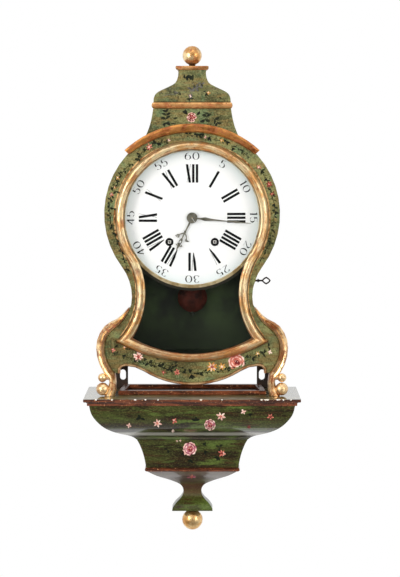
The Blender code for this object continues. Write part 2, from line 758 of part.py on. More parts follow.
ogee = smooth(
    [
        (OGEE_HALF, OGEE_LOW),
        (0.0698, over(0.5552)),
        (0.0630, over(0.5634)),
        (0.0440, over(0.5729)),
        (0.0310, over(0.5811)),
        (OGEE_NECK_HALF, over(0.5940)),
        (OGEE_NECK_HALF, OGEE_TOP),
    ],
    3,
)
neck_share = (OGEE_HALF - BASE_INSET - 0.0220) / (OGEE_HALF - OGEE_NECK_HALF)


def ogee_depth(half):
    return 0.0220 + (half - OGEE_NECK_HALF) * neck_share


node("pediment_top", hipped([(w, ogee_depth(w), z) for w, z in ogee]), GREEN)
cap_line = (
    (OGEE_NECK_HALF + 0.0010, OGEE_TOP + PLAY),
    (CAP_HALF, OGEE_TOP + 0.0034),
    (CAP_HALF, CAP_TOP - 0.0012),
    (CAP_HALF - 0.0016, CAP_TOP),
)
node("pediment_cap", hipped([(w, ogee_depth(w), z) for w, z in cap_line]), GILT)
peg_rise = asin(PEG_R / FINIAL_R)
finial_line = [(0, CAP_TOP + PLAY), (PEG_R, CAP_TOP + PLAY)]
finial_line += [(x, z) for x, z in arc(0, FINIAL_Z, FINIAL_R, peg_rise - pi / 2, pi / 2, 8)]
finial_line[-1] = (0, FINIAL_Z + FINIAL_R)
node("finial_ball", turned(finial_line, "Z", (0, PEDIMENT_Y, 0), 16), GILT)

# Door
inner_line = both_sides(door_half(RING_INNER_R, DOOR_INNER_WAIST, DOOR_INNER_CORNER, DOOR_INNER_LOW))
outer_line = both_sides(door_half(RING_OUTER_R, DOOR_OUTER_WAIST, DOOR_EAR, DOOR_OUTER_LOW))


def between(share):
    """Loop that lies between the door's two edges."""
    return [(a[0] + (b[0] - a[0]) * share, a[1] + (b[1] - a[1]) * share) for a, b in zip(inner_line, outer_line)]


frame_profile = (
    (0.25, 0),
    (0.25, REBATE_DEEP),
    (0, REBATE_DEEP),
    (0.02, 0.56 * DOOR_PROUD),
    (0.20, 0.58 * DOOR_PROUD),
    (0.48, DOOR_PROUD),
    (0.70, 0.94 * DOOR_PROUD),
    (0.88, 0.62 * DOOR_PROUD),
    (1, 0.28 * DOOR_PROUD),
    (1, 0),
)
hinge = (HINGE_X, HINGE_Y, 0)
frame_rings = [[(x, DOOR_BACK - y, z) for x, z in between(share)] for share, y in frame_profile]
node("door_frame", loft(frame_rings, closed=True), GILT, hinge)
glass_face = DOOR_BACK - REBATE_DEEP + PLAY
node("door_glass", slab(between(0.22), glass_face, glass_face + GLASS_THICK), GLASS, hinge)
for which, low in (("upper", HINGE_UPPER_Z), ("lower", HINGE_LOWER_Z)):
    at = (HINGE_X, HINGE_Y, 0)
    bore = HINGE_PIN_R + PLAY
    top = low + HINGE_EYE_HIGH
    eye = turned([(bore, low), (HINGE_EYE_R, low), (HINGE_EYE_R, top), (bore, top)], "Z", at, 14, ring=True)
    eye_node = node(f"door_hinge_eye_{which}", eye, GREEN, hinge)
    tab = box((HINGE_X + 0.0024, HINGE_Y - 0.0002, low), (-RING_OUTER_R - PLAY, HINGE_Y + 0.0058, top))
    unite(eye_node, tab)
    under = low - PLAY - HINGE_COLLAR_HIGH
    pintle = [(0, under), (HINGE_EYE_R, under), (HINGE_EYE_R, low - PLAY), (HINGE_PIN_R, low - PLAY)]
    pintle += [(HINGE_PIN_R, top + 0.0020), (0, top + 0.0026)]
    pin_node = node(f"hinge_pin_{which}", turned(pintle, "Z", at, 14), GREEN)
    shank = box(
        (HINGE_X - 0.0024, HINGE_Y, under + 0.0008),
        (HINGE_X + 0.0024, FRONT_BOARD_FACE - PLAY, low - PLAY - 0.0008),
    )
    unite(pin_node, shank)

# Lock, bolt, key and the catch on the door
bolt_rear = BOLT_X + BOLT_THICK
talon_z = KEY_Z - BOLT_TRAVEL / 2
bolt_line = [
    (BOLT_REAR, BOLT_LOW),
    (BOLT_REAR, talon_z - TALON_HIGH / 2),
    (BOLT_REAR - TALON_DEEP, talon_z - TALON_HIGH / 2),
    (BOLT_REAR - TALON_DEEP, talon_z + TALON_HIGH / 2),
    (BOLT_REAR, talon_z + TALON_HIGH / 2),
    (BOLT_REAR, NOSE_LOW),
    (BOLT_FRONT + 0.0040, NOSE_LOW),
    (BOLT_FRONT + 0.0040, BOLT_TOP),
    (BOLT_FRONT, BOLT_TOP),
    (BOLT_FRONT, BOLT_LOW),
]
node("lock_bolt", slab(bolt_line, BOLT_X, bolt_rear, axis="X"), STEEL, (BOLT_X, BOLT_FRONT, BOLT_LOW))
lock_face = bolt_rear + PLAY
lock_case = node(
    "lock_case",
    box((lock_face, FRONT_BOARD_REAR + PLAY, LOCK_LOW), (lock_face + LOCK_PLATE, -0.1000, LOCK_TOP)),
    BRASS,
)
guide = box((BOLT_X, FRONT_BOARD_REAR + PLAY, LOCK_LOW), (lock_face + 0.0004, BOLT_FRONT - PLAY, LOCK_TOP))
unite(lock_case, guide)
shank_bore = KEY_SHANK_R + PLAY
tool(lock_case, pin((0.0900, KEY_Y, KEY_Z), (0.1150, KEY_Y, KEY_Z), shank_bore))
tool(right_side, pin((0.0950, KEY_Y, KEY_Z), (0.1300, KEY_Y, KEY_Z), 0.0030))
catch_x = BOLT_X + BOLT_THICK / 2
catch_mouth = BOLT_FRONT + 0.0050
catch = node(
    "door_catch",
    box(
        (catch_x - CATCH_HALF, DOOR_BACK + PLAY, CATCH_LOW),
        (catch_x + CATCH_HALF, catch_mouth + 0.0016, CATCH_LOW + CATCH_HIGH),
    ),
    BRASS,
    hinge,
)
catch_bore = box(
    (catch_x - CATCH_BORE, BOLT_FRONT - 0.0006, CATCH_LOW - 0.01),
    (catch_x + CATCH_BORE, catch_mouth, CATCH_LOW + 0.02),
)
tool(catch, catch_bore)
board_slot = box(
    (catch_x - CATCH_HALF - PLAY, -0.1500, CATCH_LOW - PLAY),
    (catch_x + CATCH_HALF + PLAY, -0.1200, CATCH_LOW + CATCH_HIGH + PLAY),
)
tool(front_board, board_slot)
wall_r = (WAIST_HALF**2 + (HEAD_Z - WAIST_Z) ** 2 - HEAD_R**2) / (2 * (HEAD_R - WAIST_HALF))
waist_end = HEAD_Z + HEAD_R * sin(atan2(WAIST_Z - HEAD_Z, WAIST_HALF + wall_r))
if KEY_Z < waist_end:
    lean = asin((KEY_Z - WAIST_Z) / wall_r)
    wall_x = WAIST_HALF - PLAY + wall_r - wall_r * cos(lean)
else:
    lean = asin((HEAD_Z - KEY_Z) / HEAD_R)
    wall_x = HEAD_R * cos(lean) - PLAY
plate = turned(
    [(0.0032, 0), (ESCUTCHEON_R, 0), (ESCUTCHEON_R, ESCUTCHEON_THICK), (0.0032, ESCUTCHEON_THICK)],
    "X",
    (0.0006, 0, 0),
    18,
    ring=True,
)
plate.transform(Matrix.Translation((wall_x, KEY_Y, KEY_Z)) @ Matrix.Rotation(lean, 4, "Y"))
node("key_escutcheon", plate, BRASS)
key_at = (wall_x, KEY_Y, KEY_Z)
shank_end = BOLT_X + PLAY
collar = wall_x + KEY_PROUD
key_line = [
    (0, shank_end),
    (KEY_SHANK_R, shank_end),
    (KEY_SHANK_R, collar),
    (0.0034, collar + 0.0007),
    (0.0034, collar + 0.0023),
    (0.0022, collar + 0.0031),
    (0.0016, collar + 0.0055),
    (0.0016, collar + 0.0110),
    (0, collar + 0.0110),
]
key = node("door_key", turned(key_line, "X", (0, KEY_Y, KEY_Z), 12), IRON, key_at)
bow_x = collar + 0.0167


def lozenge(long, high, steps):
    """Outline of the key's bow, between an oval and a diamond."""
    return [
        (bow_x + long * c * abs(c) ** 0.5, KEY_Z + high * s * abs(s) ** 0.5) for c, s in circle(0, 0, 1, steps)
    ]


bow = slab(lozenge(0.0084, 0.0072, 20), KEY_Y - 0.0013, KEY_Y + 0.0013, holes=[lozenge(0.0053, 0.0042, 16)])
bit = box((shank_end, -KEY_BIT_LONG, -KEY_BIT_THICK / 2), (bolt_rear - PLAY, 0, KEY_BIT_THICK / 2))
bit.transform(Matrix.Translation((0, KEY_Y, KEY_Z)) @ Matrix.Rotation(radians(45), 4, "X"))
unite(key, bow, bit)

# Dial, its rim and the hands
winding = [(side * WINDING_X, DIAL_Z - WINDING_DROP) for side in (1, -1)]


def dome(radius):
    """Front of the dial at a distance from its middle."""
    return DIAL_EDGE_Y - DIAL_DOME * (1 - (radius / DIAL_R) ** 2)


dial_radii = [0.0046, 0.0500, 0.0920, DIAL_R]
dial_line = [(r, dome(r)) for r in dial_radii] + [(r, dome(r) + DIAL_THICK) for r in reversed(dial_radii)]
dial = node("dial", turned(dial_line, "Y", (0, 0, DIAL_Z), 40, ring=True), ENAMEL)
plate_face = FRONT_PLATE_Y - PLATE_THICK
for x, z in winding:
    tool(dial, pin((x, -0.15, z), (x, -0.11, z), WINDING_HOLE_R, 20))
for x, rise in ((0.056, 0.062), (-0.056, 0.062), (0, -0.075)):
    z = DIAL_Z + rise
    unite(dial, pin((x, plate_face - PLAY, z), (x, dome(hypot(x, rise)) + 0.0006, z), 0.0020, 8))
lip = DIAL_EDGE_Y - 0.0018
rim_line = [
    (DIAL_R + PLAY, DIAL_EDGE_Y + 0.0016),
    (DIAL_R + PLAY, lip),
    (RIM_INNER_R, lip - 0.0006),
    (RIM_INNER_R + 0.0010, lip - 0.0024),
    (RIM_OUTER_R, lip - 0.0004),
    (RIM_FLANGE_R, lip - 0.0004),
    (RIM_FLANGE_R, DIAL_EDGE_Y + 0.0016),
]
node("dial_rim", turned(rim_line, "Y", (0, 0, DIAL_Z), 40, ring=True), BRASS)


def along_hand(points, turn):
    """Points given as (out along the hand, to its right), turned clockwise from twelve."""
    a = radians(turn)
    return [(u * sin(a) + v * cos(a), DIAL_Z + u * cos(a) - v * sin(a)) for u, v in points]


def ribbon(points, half):
    """A narrow band along a rounded run of (u, v) points, tapering to its end."""
    run = smooth(points, 2)
    left, right = [], []
    for k, (u, v) in enumerate(run):
        before, after = run[max(k - 1, 0)], run[min(k + 1, len(run) - 1)]
        du, dv = after[0] - before[0], after[1] - before[1]
        length = hypot(du, dv)
        wide = half * (1 - 0.5 * k / len(run))
        left.append((u - dv / length * wide, v + du / length * wide))
        right.append((u + dv / length * wide, v - du / length * wide))
    return left + right[::-1]


def hand_line(halves):
    """A hand's outline from (out, half width) pairs."""
    return halves + [(u, -v) for u, v in reversed(halves)]


centre = (0, 0, DIAL_Z)
hour_bore, minute_bore = 0.0041, 0.0027
hour_shaft = hand_line(
    [
        (0.0085, 0.0016),
        (0.0270, 0.0012),
        (0.0290, 0.0024),
        (0.0306, 0.0013),
        (0.0420, 0.0010),
        (0.0445, 0.0022),
        (0.0495, 0.0032),
        (0.0545, 0.0016),
        (0.0580, 0.0022),
        (0.0600, 0.0019),
        (0.0672, 0.0003),
    ]
)
pierced = [
    (0.0470, 0.0006),
    (0.0495, 0.0018),
    (0.0522, 0.0006),
    (0.0522, -0.0006),
    (0.0495, -0.0018),
    (0.0470, -0.0006),
]
h_low, h_high = HOUR_HAND_Y, HOUR_HAND_Y + HAND_THICK
hub = slab(circle(0, DIAL_Z, HUB_R, 24), h_low, h_high, holes=[circle(0, DIAL_Z, hour_bore, 14)])
hour_hand = node("hour_hand", hub, HAND_BRASS, centre)
unite(hour_hand, slab(along_hand(hour_shaft, HOUR_TURN), h_low, h_high, [along_hand(pierced, HOUR_TURN)]))
tendril_run = [(0.0315, 0.0004), (0.0350, 0.0050), (0.0390, 0.0076), (0.0440, 0.0072), (0.0425, 0.0135)]
for side in (1, -1):
    tendril = ribbon(tendril_run, 0.0011)
    barb = ribbon([(0.0560, 0.0008), (0.0575, 0.0036), (0.0562, 0.0058)], 0.0010)
    for line in (tendril, barb):
        line = [(u, side * v) for u, v in line]
        unite(hour_hand, slab(along_hand(line, HOUR_TURN), h_low, h_high))
minute_shaft = hand_line(
    [
        (0.0090, 0.0015),
        (0.0150, 0.0014),
        (0.0200, 0.0026),
        (0.0245, 0.0034),
        (0.0300, 0.0026),
        (0.0420, 0.0014),
        (0.0640, 0.0009),
        (0.0760, 0.0012),
        (0.0815, 0.0020),
        (0.0900, 0.0011),
        (0.1095, 0.0003),
    ]
)
m_low, m_high = MINUTE_HAND_Y, MINUTE_HAND_Y + HAND_THICK
hub = slab(circle(0, DIAL_Z, HUB_R, 24), m_low, m_high, holes=[circle(0, DIAL_Z, minute_bore, 14)])
minute_hand = node("minute_hand", hub, HAND_BRASS, centre)
unite(minute_hand, slab(along_hand(minute_shaft, MINUTE_TURN), m_low, m_high))
collet_line = [(0.0015, m_low - PLAY), (0.0058, m_low - PLAY), (0.0046, m_low - 0.0016), (0.0015, m_low - 0.0019)]
node("hand_collet", turned(collet_line, "Y", centre, 18, ring=True), HAND_BRASS, centre)


# Movement: places in the dial's plane as (x, height over the dial's middle)
def place(base, reach, bearing):
    a = radians(bearing)
    return (base[0] + reach * cos(a), base[1] + reach * sin(a))


def reach(teeth, leaves, module):
    return (teeth + leaves) * module / 2


BARREL_AT = (WINDING_X, -WINDING_DROP)
CENTRE_AT = (0, 0)
apart = hypot(*BARREL_AT)
from_barrel = reach(GREAT_TEETH, LEAVES, GREAT_MODULE)
from_centre = reach(INTERMEDIATE_TEETH, LEAVES, INTERMEDIATE_MODULE)
along = (from_centre**2 - from_barrel**2 + apart**2) / (2 * apart)
aside = sqrt(from_centre**2 - along**2)
ux, uz = BARREL_AT[0] / apart, BARREL_AT[1] / apart
INTERMEDIATE_AT = (along * ux - aside * uz, along * uz + aside * ux)
THIRD_AT = place(CENTRE_AT, reach(CENTRE_TEETH, FINE_LEAVES, CENTRE_MODULE), THIRD_BEARING)
escape_reach = reach(THIRD_TEETH, FINE_LEAVES, THIRD_MODULE)
ESCAPE_AT = (0, THIRD_AT[1] + sqrt(escape_reach**2 - THIRD_AT[0] ** 2))
SWING_AT = (0, SWING_Z - DIAL_Z)
MINUTE_AT = place(CENTRE_AT, reach(MINUTE_TEETH, CANNON_LEAVES, MINUTE_MODULE), MINUTE_BEARING)
STRIKE_AT = (-BARREL_AT[0], BARREL_AT[1])
HAMMER_PIVOT = (HAMMER_AT[0], HAMMER_AT[1] - DIAL_Z)


def world(at, y=0.0):
    return (at[0], y, DIAL_Z + at[1])


def toothed(at, teeth, module, form, mate):
    """Outline of a wheel with a tooth, or of a pinion with a gap, on the line to its mate."""
    rise, root, tip_half = form
    radius = teeth * module / 2
    start = atan2(mate[1] - at[1], mate[0] - at[0])
    pitch = 2 * pi / teeth
    shift = 0.5 if form is PINION else 0
    line = []
    for k in range(teeth):
        for half, r in (
            (-tip_half, radius + rise * module),
            (tip_half, radius + rise * module),
            (0.5, radius - root * module),
        ):
            a = start + (k + shift + half) * pitch
            line.append((at[0] + r * cos(a), DIAL_Z + at[1] + r * sin(a)))
    return line


def hole(at, radius, steps=8):
    return circle(at[0], DIAL_Z + at[1], radius, steps)


def arbor(at, runs, steps=8):
    """Stepped spindle from (radius, y where this radius begins) runs, front to back, and its end."""
    line = [(0, runs[0][1])]
    for (radius, start), (_, end) in zip(runs, runs[1:]):
        line += [(radius, start), (radius, end)]
    line.append((0, runs[-1][1]))
    return turned(line, "Y", world(at), steps)


front_pivot = FRONT_PLATE_Y - 0.0026
rear_pivot = BACK_PLATE_Y + 0.0026
front_face = FRONT_PLATE_Y + PLAY
rear_face = BACK_PLATE_Y - PLAY
plain_arbor = [(PIVOT_R, front_pivot), (ARBOR_R, front_face), (PIVOT_R, rear_face), (0, rear_pivot)]
plate_line = [
    (-PLATE_HALF, PLATE_LOW),
    (PLATE_HALF, PLATE_LOW),
    (PLATE_HALF, PLATE_TOP),
    (-PLATE_HALF, PLATE_TOP),
]
pivots = (INTERMEDIATE_AT, THIRD_AT, ESCAPE_AT, HAMMER_PIVOT)
shared = [hole(at, PIVOT_HOLE_R) for at in pivots]
barrel_holes = [hole(at, WINDING_R + PLAY, 12) for at in (BARREL_AT, STRIKE_AT)]
back_plate = node(
    "back_plate",
    slab(
        plate_line,
        BACK_PLATE_Y,
        BACK_PLATE_Y + PLATE_THICK,
        [*shared, *barrel_holes, hole(CENTRE_AT, PIVOT_HOLE_R), hole(SWING_AT, 0.0018)],
    ),
    BRASS,
)
for x in (-PILLAR_X, PILLAR_X):
    for rise in (-PILLAR_DROP, PILLAR_RISE):
        z = DIAL_Z + rise
        unite(back_plate, pin((x, FRONT_PLATE_Y + PLAY, z), (x, BACK_PLATE_Y + 0.0010, z), PILLAR_R, 10))
post_y = BACK_PLATE_Y + PLATE_THICK / 2
bell_top = BELL_RIM_Z + BELL_HIGH
post_line = [
    (0, PLATE_TOP - 0.0025),
    (0.0030, PLATE_TOP - 0.0025),
    (0.0036, bell_top - BELL_WALL - PLAY),
    (0.0020, bell_top - BELL_WALL - PLAY),
    (0.0020, bell_top + 0.0050),
    (0, bell_top + 0.0050),
]
unite(back_plate, turned(post_line, "Z", (0, post_y, 0), 12))
front_plate = node(
    "front_plate",
    slab(
        plate_line,
        plate_face,
        FRONT_PLATE_Y,
        [*shared, *barrel_holes, hole(CENTRE_AT, 0.0017), hole(SWING_AT, PIVOT_HOLE_R)],
    ),
    BRASS,
)
unite(front_plate, pin(world(MINUTE_AT, plate_face - 0.0095), world(MINUTE_AT, plate_face + 0.0010), 0.0012, 10))
seat_top = PLATE_LOW - PLAY
seat_low = seat_top - SEAT_THICK
seat_ends = [(wall_inside(z) - PLAY, z) for z in (seat_top, seat_low)]
node("movement_seat", slab(both_sides([(0, seat_top), *seat_ends, (0, seat_low)]), -0.1120, -0.0450), BARE_WOOD)

drum_line = [
    (WINDING_R + PLAY, DRUM_FRONT),
    (DRUM_R, DRUM_FRONT),
    (DRUM_R, DRUM_REAR),
    (WINDING_R + PLAY, DRUM_REAR),
]
for name, at, mate in (("going", BARREL_AT, INTERMEDIATE_AT), ("strike", STRIKE_AT, CENTRE_AT)):
    barrel = node(f"{name}_barrel", turned(drum_line, "Y", world(at), 20, ring=True), BRASS, world(at))
    great = slab(
        toothed(at, GREAT_TEETH, GREAT_MODULE, WHEEL, mate),
        DRUM_REAR - 0.0004,
        DRUM_REAR + 0.0036,
        [hole(at, WINDING_R + PLAY, 20)],
    )
    unite(barrel, great)
    runs = [(WINDING_R - 0.0006, -0.1135), (WINDING_R, -0.1105), (WINDING_R, -0.0550), (0.0030, -0.0550)]
    runs += [(0, BACK_PLATE_Y + 0.0026)]
    winder = node(f"{name}_winding_arbor", arbor(at, runs, 12), STEEL, world(at))
    ratchet = toothed(at, 14, 0.0016, WHEEL, CENTRE_AT)
    half_square = 0.0028
    x, z = at[0], DIAL_Z + at[1]
    square = box((x - half_square, -0.1268, z - half_square), (x + half_square, -0.1130, z + half_square))
    unite(winder, slab(ratchet, -0.1130, -0.1105), square)

great_mid = DRUM_REAR + 0.0018
intermediate = node("intermediate_wheel", arbor(INTERMEDIATE_AT, plain_arbor), BRASS, world(INTERMEDIATE_AT))
unite(
    intermediate,
    slab(
        toothed(INTERMEDIATE_AT, LEAVES, GREAT_MODULE, PINION, BARREL_AT), great_mid - 0.0036, great_mid + 0.0036
    ),
    slab(toothed(INTERMEDIATE_AT, INTERMEDIATE_TEETH, INTERMEDIATE_MODULE, WHEEL, CENTRE_AT), -0.0593, -0.0569),
)
centre_runs = [
    (0.0012, m_low - 0.0026),
    (0.0020, -0.0890),
    (PIVOT_R, rear_face),
    (0, rear_pivot),
]
centre_wheel = node("centre_wheel", arbor(CENTRE_AT, centre_runs), BRASS, centre)
unite(
    centre_wheel,
    slab(toothed(CENTRE_AT, LEAVES, INTERMEDIATE_MODULE, PINION, INTERMEDIATE_AT), -0.0606, -0.0556),
    slab(toothed(CENTRE_AT, CENTRE_TEETH, CENTRE_MODULE, WHEEL, THIRD_AT), -0.0850, -0.0826),
)
third_wheel = node("third_wheel", arbor(THIRD_AT, plain_arbor), BRASS, world(THIRD_AT))
unite(
    third_wheel,
    slab(toothed(THIRD_AT, FINE_LEAVES, CENTRE_MODULE, PINION, CENTRE_AT), -0.0863, -0.0813),
    slab(toothed(THIRD_AT, THIRD_TEETH, THIRD_MODULE, WHEEL, ESCAPE_AT), -0.0745, -0.0723),
)
escape_line = []
for k in range(ESCAPE_TEETH):
    for share, r in ((0, ESCAPE_R), (0.10, ESCAPE_R), (0.55, 0.82 * ESCAPE_R)):
        a = pi / 2 + (k - 0.05 + share) * 2 * pi / ESCAPE_TEETH
        escape_line.append((r * cos(a), DIAL_Z + ESCAPE_AT[1] + r * sin(a)))
escape_wheel = node("escape_wheel", arbor(ESCAPE_AT, plain_arbor), BRASS, world(ESCAPE_AT))
unite(
    escape_wheel,
    slab(toothed(ESCAPE_AT, FINE_LEAVES, THIRD_MODULE, PINION, THIRD_AT), -0.0757, -0.0711),
    slab(escape_line, -0.0625, -0.0605),
)

# Anchor with its crutch, the cock that carries the pendulum, and the pendulum
nib = radians(65)
nib_out = [(ESCAPE_R + 0.0006, nib + 0.022), (ESCAPE_R + 0.0006, nib - 0.022)]
nib_points = [(r * sin(a), ESCAPE_AT[1] + r * cos(a)) for r, a in nib_out]
arm = [(0, 0.0972), (0.0040, 0.0950), (0.0265, 0.0720), (0.0270, 0.0620), (0.0240, 0.0588)]
arm += [*nib_points, (0.0218, 0.0622), (0.0215, 0.0700), (0.0026, 0.0882), (0, 0.0875)]
swing_axis = (0, 0, SWING_Z)
anchor_runs = [(PIVOT_R, front_pivot), (0.0014, front_face), (0.0014, -0.0368), (0, -0.0368)]
anchor = node("anchor_and_crutch", arbor(SWING_AT, anchor_runs), STEEL, swing_axis)
anchor_line = both_sides([(x, DIAL_Z + z) for x, z in arm])
crutch_z = DIAL_Z + 0.0360
crutch_line = [
    (-0.0022, SWING_Z + 0.0030),
    (0.0022, SWING_Z + 0.0030),
    (0.0018, crutch_z + 0.0040),
    (0.0040, crutch_z),
    (0.0040, crutch_z - 0.0030),
    (-0.0040, crutch_z - 0.0030),
    (-0.0040, crutch_z),
    (-0.0018, crutch_z + 0.0040),
]
fork = [
    pin((x, -0.0388, crutch_z - 0.0008), (x, -0.0288, crutch_z - 0.0008), 0.0009, 8) for x in (-0.0029, 0.0029)
]
unite(anchor, slab(anchor_line, -0.0625, -0.0605), slab(crutch_line, -0.0400, -0.0380), *fork)
cock_line = [
    (-0.0190, SWING_Z - 0.0060),
    (0.0190, SWING_Z - 0.0060),
    (0.0190, SWING_Z + 0.0080),
    (0.0100, SWING_Z + 0.0110),
    (-0.0100, SWING_Z + 0.0110),
    (-0.0190, SWING_Z + 0.0080),
]
cock = node("suspension_cock", slab(cock_line, -0.0275, -0.0245), BRASS)
cock_foot = BACK_PLATE_Y + PLATE_THICK + PLAY
unite(cock, pin((0, -0.0350, SWING_Z), (0, -0.0265, SWING_Z), 0.0015, 10))
for x in (-0.0140, 0.0140):
    unite(cock, pin((x, cock_foot, SWING_Z + 0.0020), (x, -0.0268, SWING_Z + 0.0020), 0.0032, 10))
bob_z = SWING_Z - PENDULUM_LONG
eye_half = 0.0015
rod_end, rod_top = bob_z - BOB_R - 0.0090, SWING_Z - 0.0030
rod_line = [(0, rod_end), (ROD_R, rod_end), (ROD_R, rod_top), (0, rod_top)]
rod = node("pendulum_rod", turned(rod_line, "Z", (0, PENDULUM_Y, 0), 10), STEEL, swing_axis)
eye = slab(
    circle(0, SWING_Z, 0.0042, 14), PENDULUM_Y - eye_half, PENDULUM_Y + eye_half, [circle(0, SWING_Z, 0.0018, 10)]
)
nut_top = bob_z - BOB_R - PLAY
nut = [(0, nut_top - 0.0042), (0.0044, nut_top - 0.0042), (0.0044, nut_top), (0, nut_top)]
unite(rod, eye, turned(nut, "Z", (0, PENDULUM_Y, 0), 12))
lens = [(0, -BOB_HALF_THICK)]
lens += [(BOB_R * s, -BOB_HALF_THICK * (1 - s * s) - 0.0008) for s in (0.5, 0.8, 1)]
lens += [(r, -y) for r, y in reversed(lens)]
bob = node("pendulum_bob", turned(lens, "Y", (0, PENDULUM_Y, bob_z), 22), COPPER, swing_axis)
tool(bob, pin((0, PENDULUM_Y, bob_z - 0.04), (0, PENDULUM_Y, bob_z + 0.04), ROD_R + PLAY, 10))

# Motion work behind the dial
motion_y = plate_face - 0.0015
cannon_line = [(0.0015, motion_y), (0.0024, motion_y), (0.0024, m_low), (0.0015, m_low)]
cannon = node("cannon_pinion", turned(cannon_line, "Y", centre, 12, ring=True), STEEL, centre)
unite(
    cannon,
    slab(
        toothed(CENTRE_AT, CANNON_LEAVES, MINUTE_MODULE, PINION, MINUTE_AT),
        motion_y - 0.0024,
        motion_y,
        [hole(CENTRE_AT, 0.0020, 12)],
    ),
)
minute_wheel = node(
    "minute_wheel",
    slab(
        toothed(MINUTE_AT, MINUTE_TEETH, MINUTE_MODULE, WHEEL, CENTRE_AT),
        motion_y - 0.0022,
        motion_y - 0.0002,
        [hole(MINUTE_AT, 0.0015, 10)],
    ),
    BRASS,
    world(MINUTE_AT),
)
unite(
    minute_wheel,
    slab(
        toothed(MINUTE_AT, MINUTE_LEAVES, HOUR_MODULE, PINION, CENTRE_AT),
        motion_y - 0.0064,
        motion_y - 0.0020,
        [hole(MINUTE_AT, 0.0015, 10)],
    ),
)
hour_line = [(0.0027, motion_y - 0.0060), (0.0038, motion_y - 0.0060), (0.0038, h_low), (0.0027, h_low)]
hour_wheel = node("hour_wheel", turned(hour_line, "Y", centre, 14, ring=True), BRASS, centre)
unite(
    hour_wheel,
    slab(
        toothed(CENTRE_AT, HOUR_TEETH, HOUR_MODULE, WHEEL, MINUTE_AT),
        motion_y - 0.0060,
        motion_y - 0.0040,
        [hole(CENTRE_AT, 0.0032, 14)],
    ),
)

# Bell and hammer
bell_line = [
    (0.0023, bell_top),
    (0.50 * BELL_R, bell_top - 0.0014),
    (0.86 * BELL_R, bell_top - 0.0110),
    (BELL_R, BELL_RIM_Z),
]
for r, z in bell_line[:0:-1]:
    bell_line.append((r - BELL_WALL * min(1, r / BELL_R * 1.1), z - BELL_WALL * (z > BELL_RIM_Z)))
bell_line.append((0.0023, bell_top - BELL_WALL))
node("bell", turned(bell_line, "Z", (0, post_y, 0), 18, ring=True), BELL_METAL)
hammer_axis = (HAMMER_AT[0], 0, HAMMER_AT[1])
hammer = node("hammer", arbor(HAMMER_PIVOT, plain_arbor), STEEL, hammer_axis)
hx, hz = HAMMER_AT
head_z = DIAL_Z + 0.1170
arm_line = [
    (hx - 0.0030, hz - 0.0030),
    (hx + 0.0030, hz - 0.0030),
    (hx - 0.0064, head_z + 0.0030),
    (hx - 0.0096, head_z + 0.0030),
]
unite(
    hammer,
    slab(arm_line, HAMMER_Y - 0.0020, HAMMER_Y + 0.0020),
    pin((0.0336, HAMMER_Y, head_z), (hx - 0.0075, HAMMER_Y, head_z), 0.0042, 12),
)
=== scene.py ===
from math import atan2, cos, hypot, pi, radians, sin
from random import Random

import bmesh
import bpy
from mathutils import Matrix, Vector
from mathutils.bvhtree import BVHTree


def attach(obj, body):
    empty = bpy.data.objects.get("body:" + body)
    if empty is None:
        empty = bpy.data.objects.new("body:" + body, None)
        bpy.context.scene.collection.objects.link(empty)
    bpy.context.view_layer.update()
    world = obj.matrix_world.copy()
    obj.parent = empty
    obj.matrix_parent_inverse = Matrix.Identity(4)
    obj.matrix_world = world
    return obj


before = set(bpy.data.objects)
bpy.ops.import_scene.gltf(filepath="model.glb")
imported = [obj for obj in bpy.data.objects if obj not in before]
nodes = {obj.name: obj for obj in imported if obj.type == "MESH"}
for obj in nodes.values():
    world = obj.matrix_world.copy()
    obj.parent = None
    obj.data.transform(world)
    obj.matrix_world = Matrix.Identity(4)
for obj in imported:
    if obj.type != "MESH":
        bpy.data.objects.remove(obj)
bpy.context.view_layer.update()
scene = bpy.context.scene

# Picture and camera
WIDE, HIGH = 400, 577  # in pixels
EYE = Vector((0.0146, -3.75, 0.524))
TILT = 0.0729  # radians below level
FOCUS = 1954.0  # in pixels
SENSOR = 36.0

# Light: the room's own, and how bright polish mirrors the room and the floor behind the camera
AMBIENT = 0.28
FRONT_DIM = 0.30
FLOOR_DIM = 0.22
FLOOR_AT, FLOOR_HALF = (0, 6, -1.15), 9
FLOOR_BRIGHT = -7.0, -5.5  # between these two, from the floor's middle, its mirrored light rises
LAMP_AIM = Vector((0, -0.1, 0.28))

# Dial, hands and winding squares, in metres
DIAL_Z, DIAL_R = 0.3910, 0.1265
DIAL_EDGE_Y, DIAL_DOME = -0.1220, 0.0080
# The rim's flange is given a painted shadow in dark lining colours
RIM_SHADOW_RADII = 0.1300, 0.1310  # radii between which the rim's brass gives way to paint
HOUR_HAND_FACE = -0.1338
WINDING_X, WINDING_DROP = 0.0420, 0.0450
SQUARE_WORN, SQUARE_END = 0.0016, -0.1250

# Case and door frame. Radii of the head are taken from the dial's or the arch's middle
ARCH_Z = 0.3980
HEAD_RIM, HEAD_RIM_UP = (0.1500, 0.1625), 0.0900
FRAME_INNER, FRAME_OUTER = 0.1264, 0.1420
GILT_MARGIN, MARGIN_LOW = 0.0028, 0.1720
WAIST_X, WAIST_Z = 0.2280, 0.2520  # middle of the waist's curve
WAIST_REACH, WAIST_SLOPE = 0.2680, 0.61  # both radii together, and the line where the head ends
RAIL_Z, RAIL_DROP = 0.1660, 0.1255  # the lower rail lies below this height and so much further out
RAIL_BROWN = 0.1400, 0.1640  # heights between which its brown fades
GROOVE_LOW = 0.1050
FINIAL_FOOT = 0.6755
# Heights between which the painted shade at the bottom of the case's inside fades
LINING_SHADE_HEIGHTS = 0.1550, 0.2250

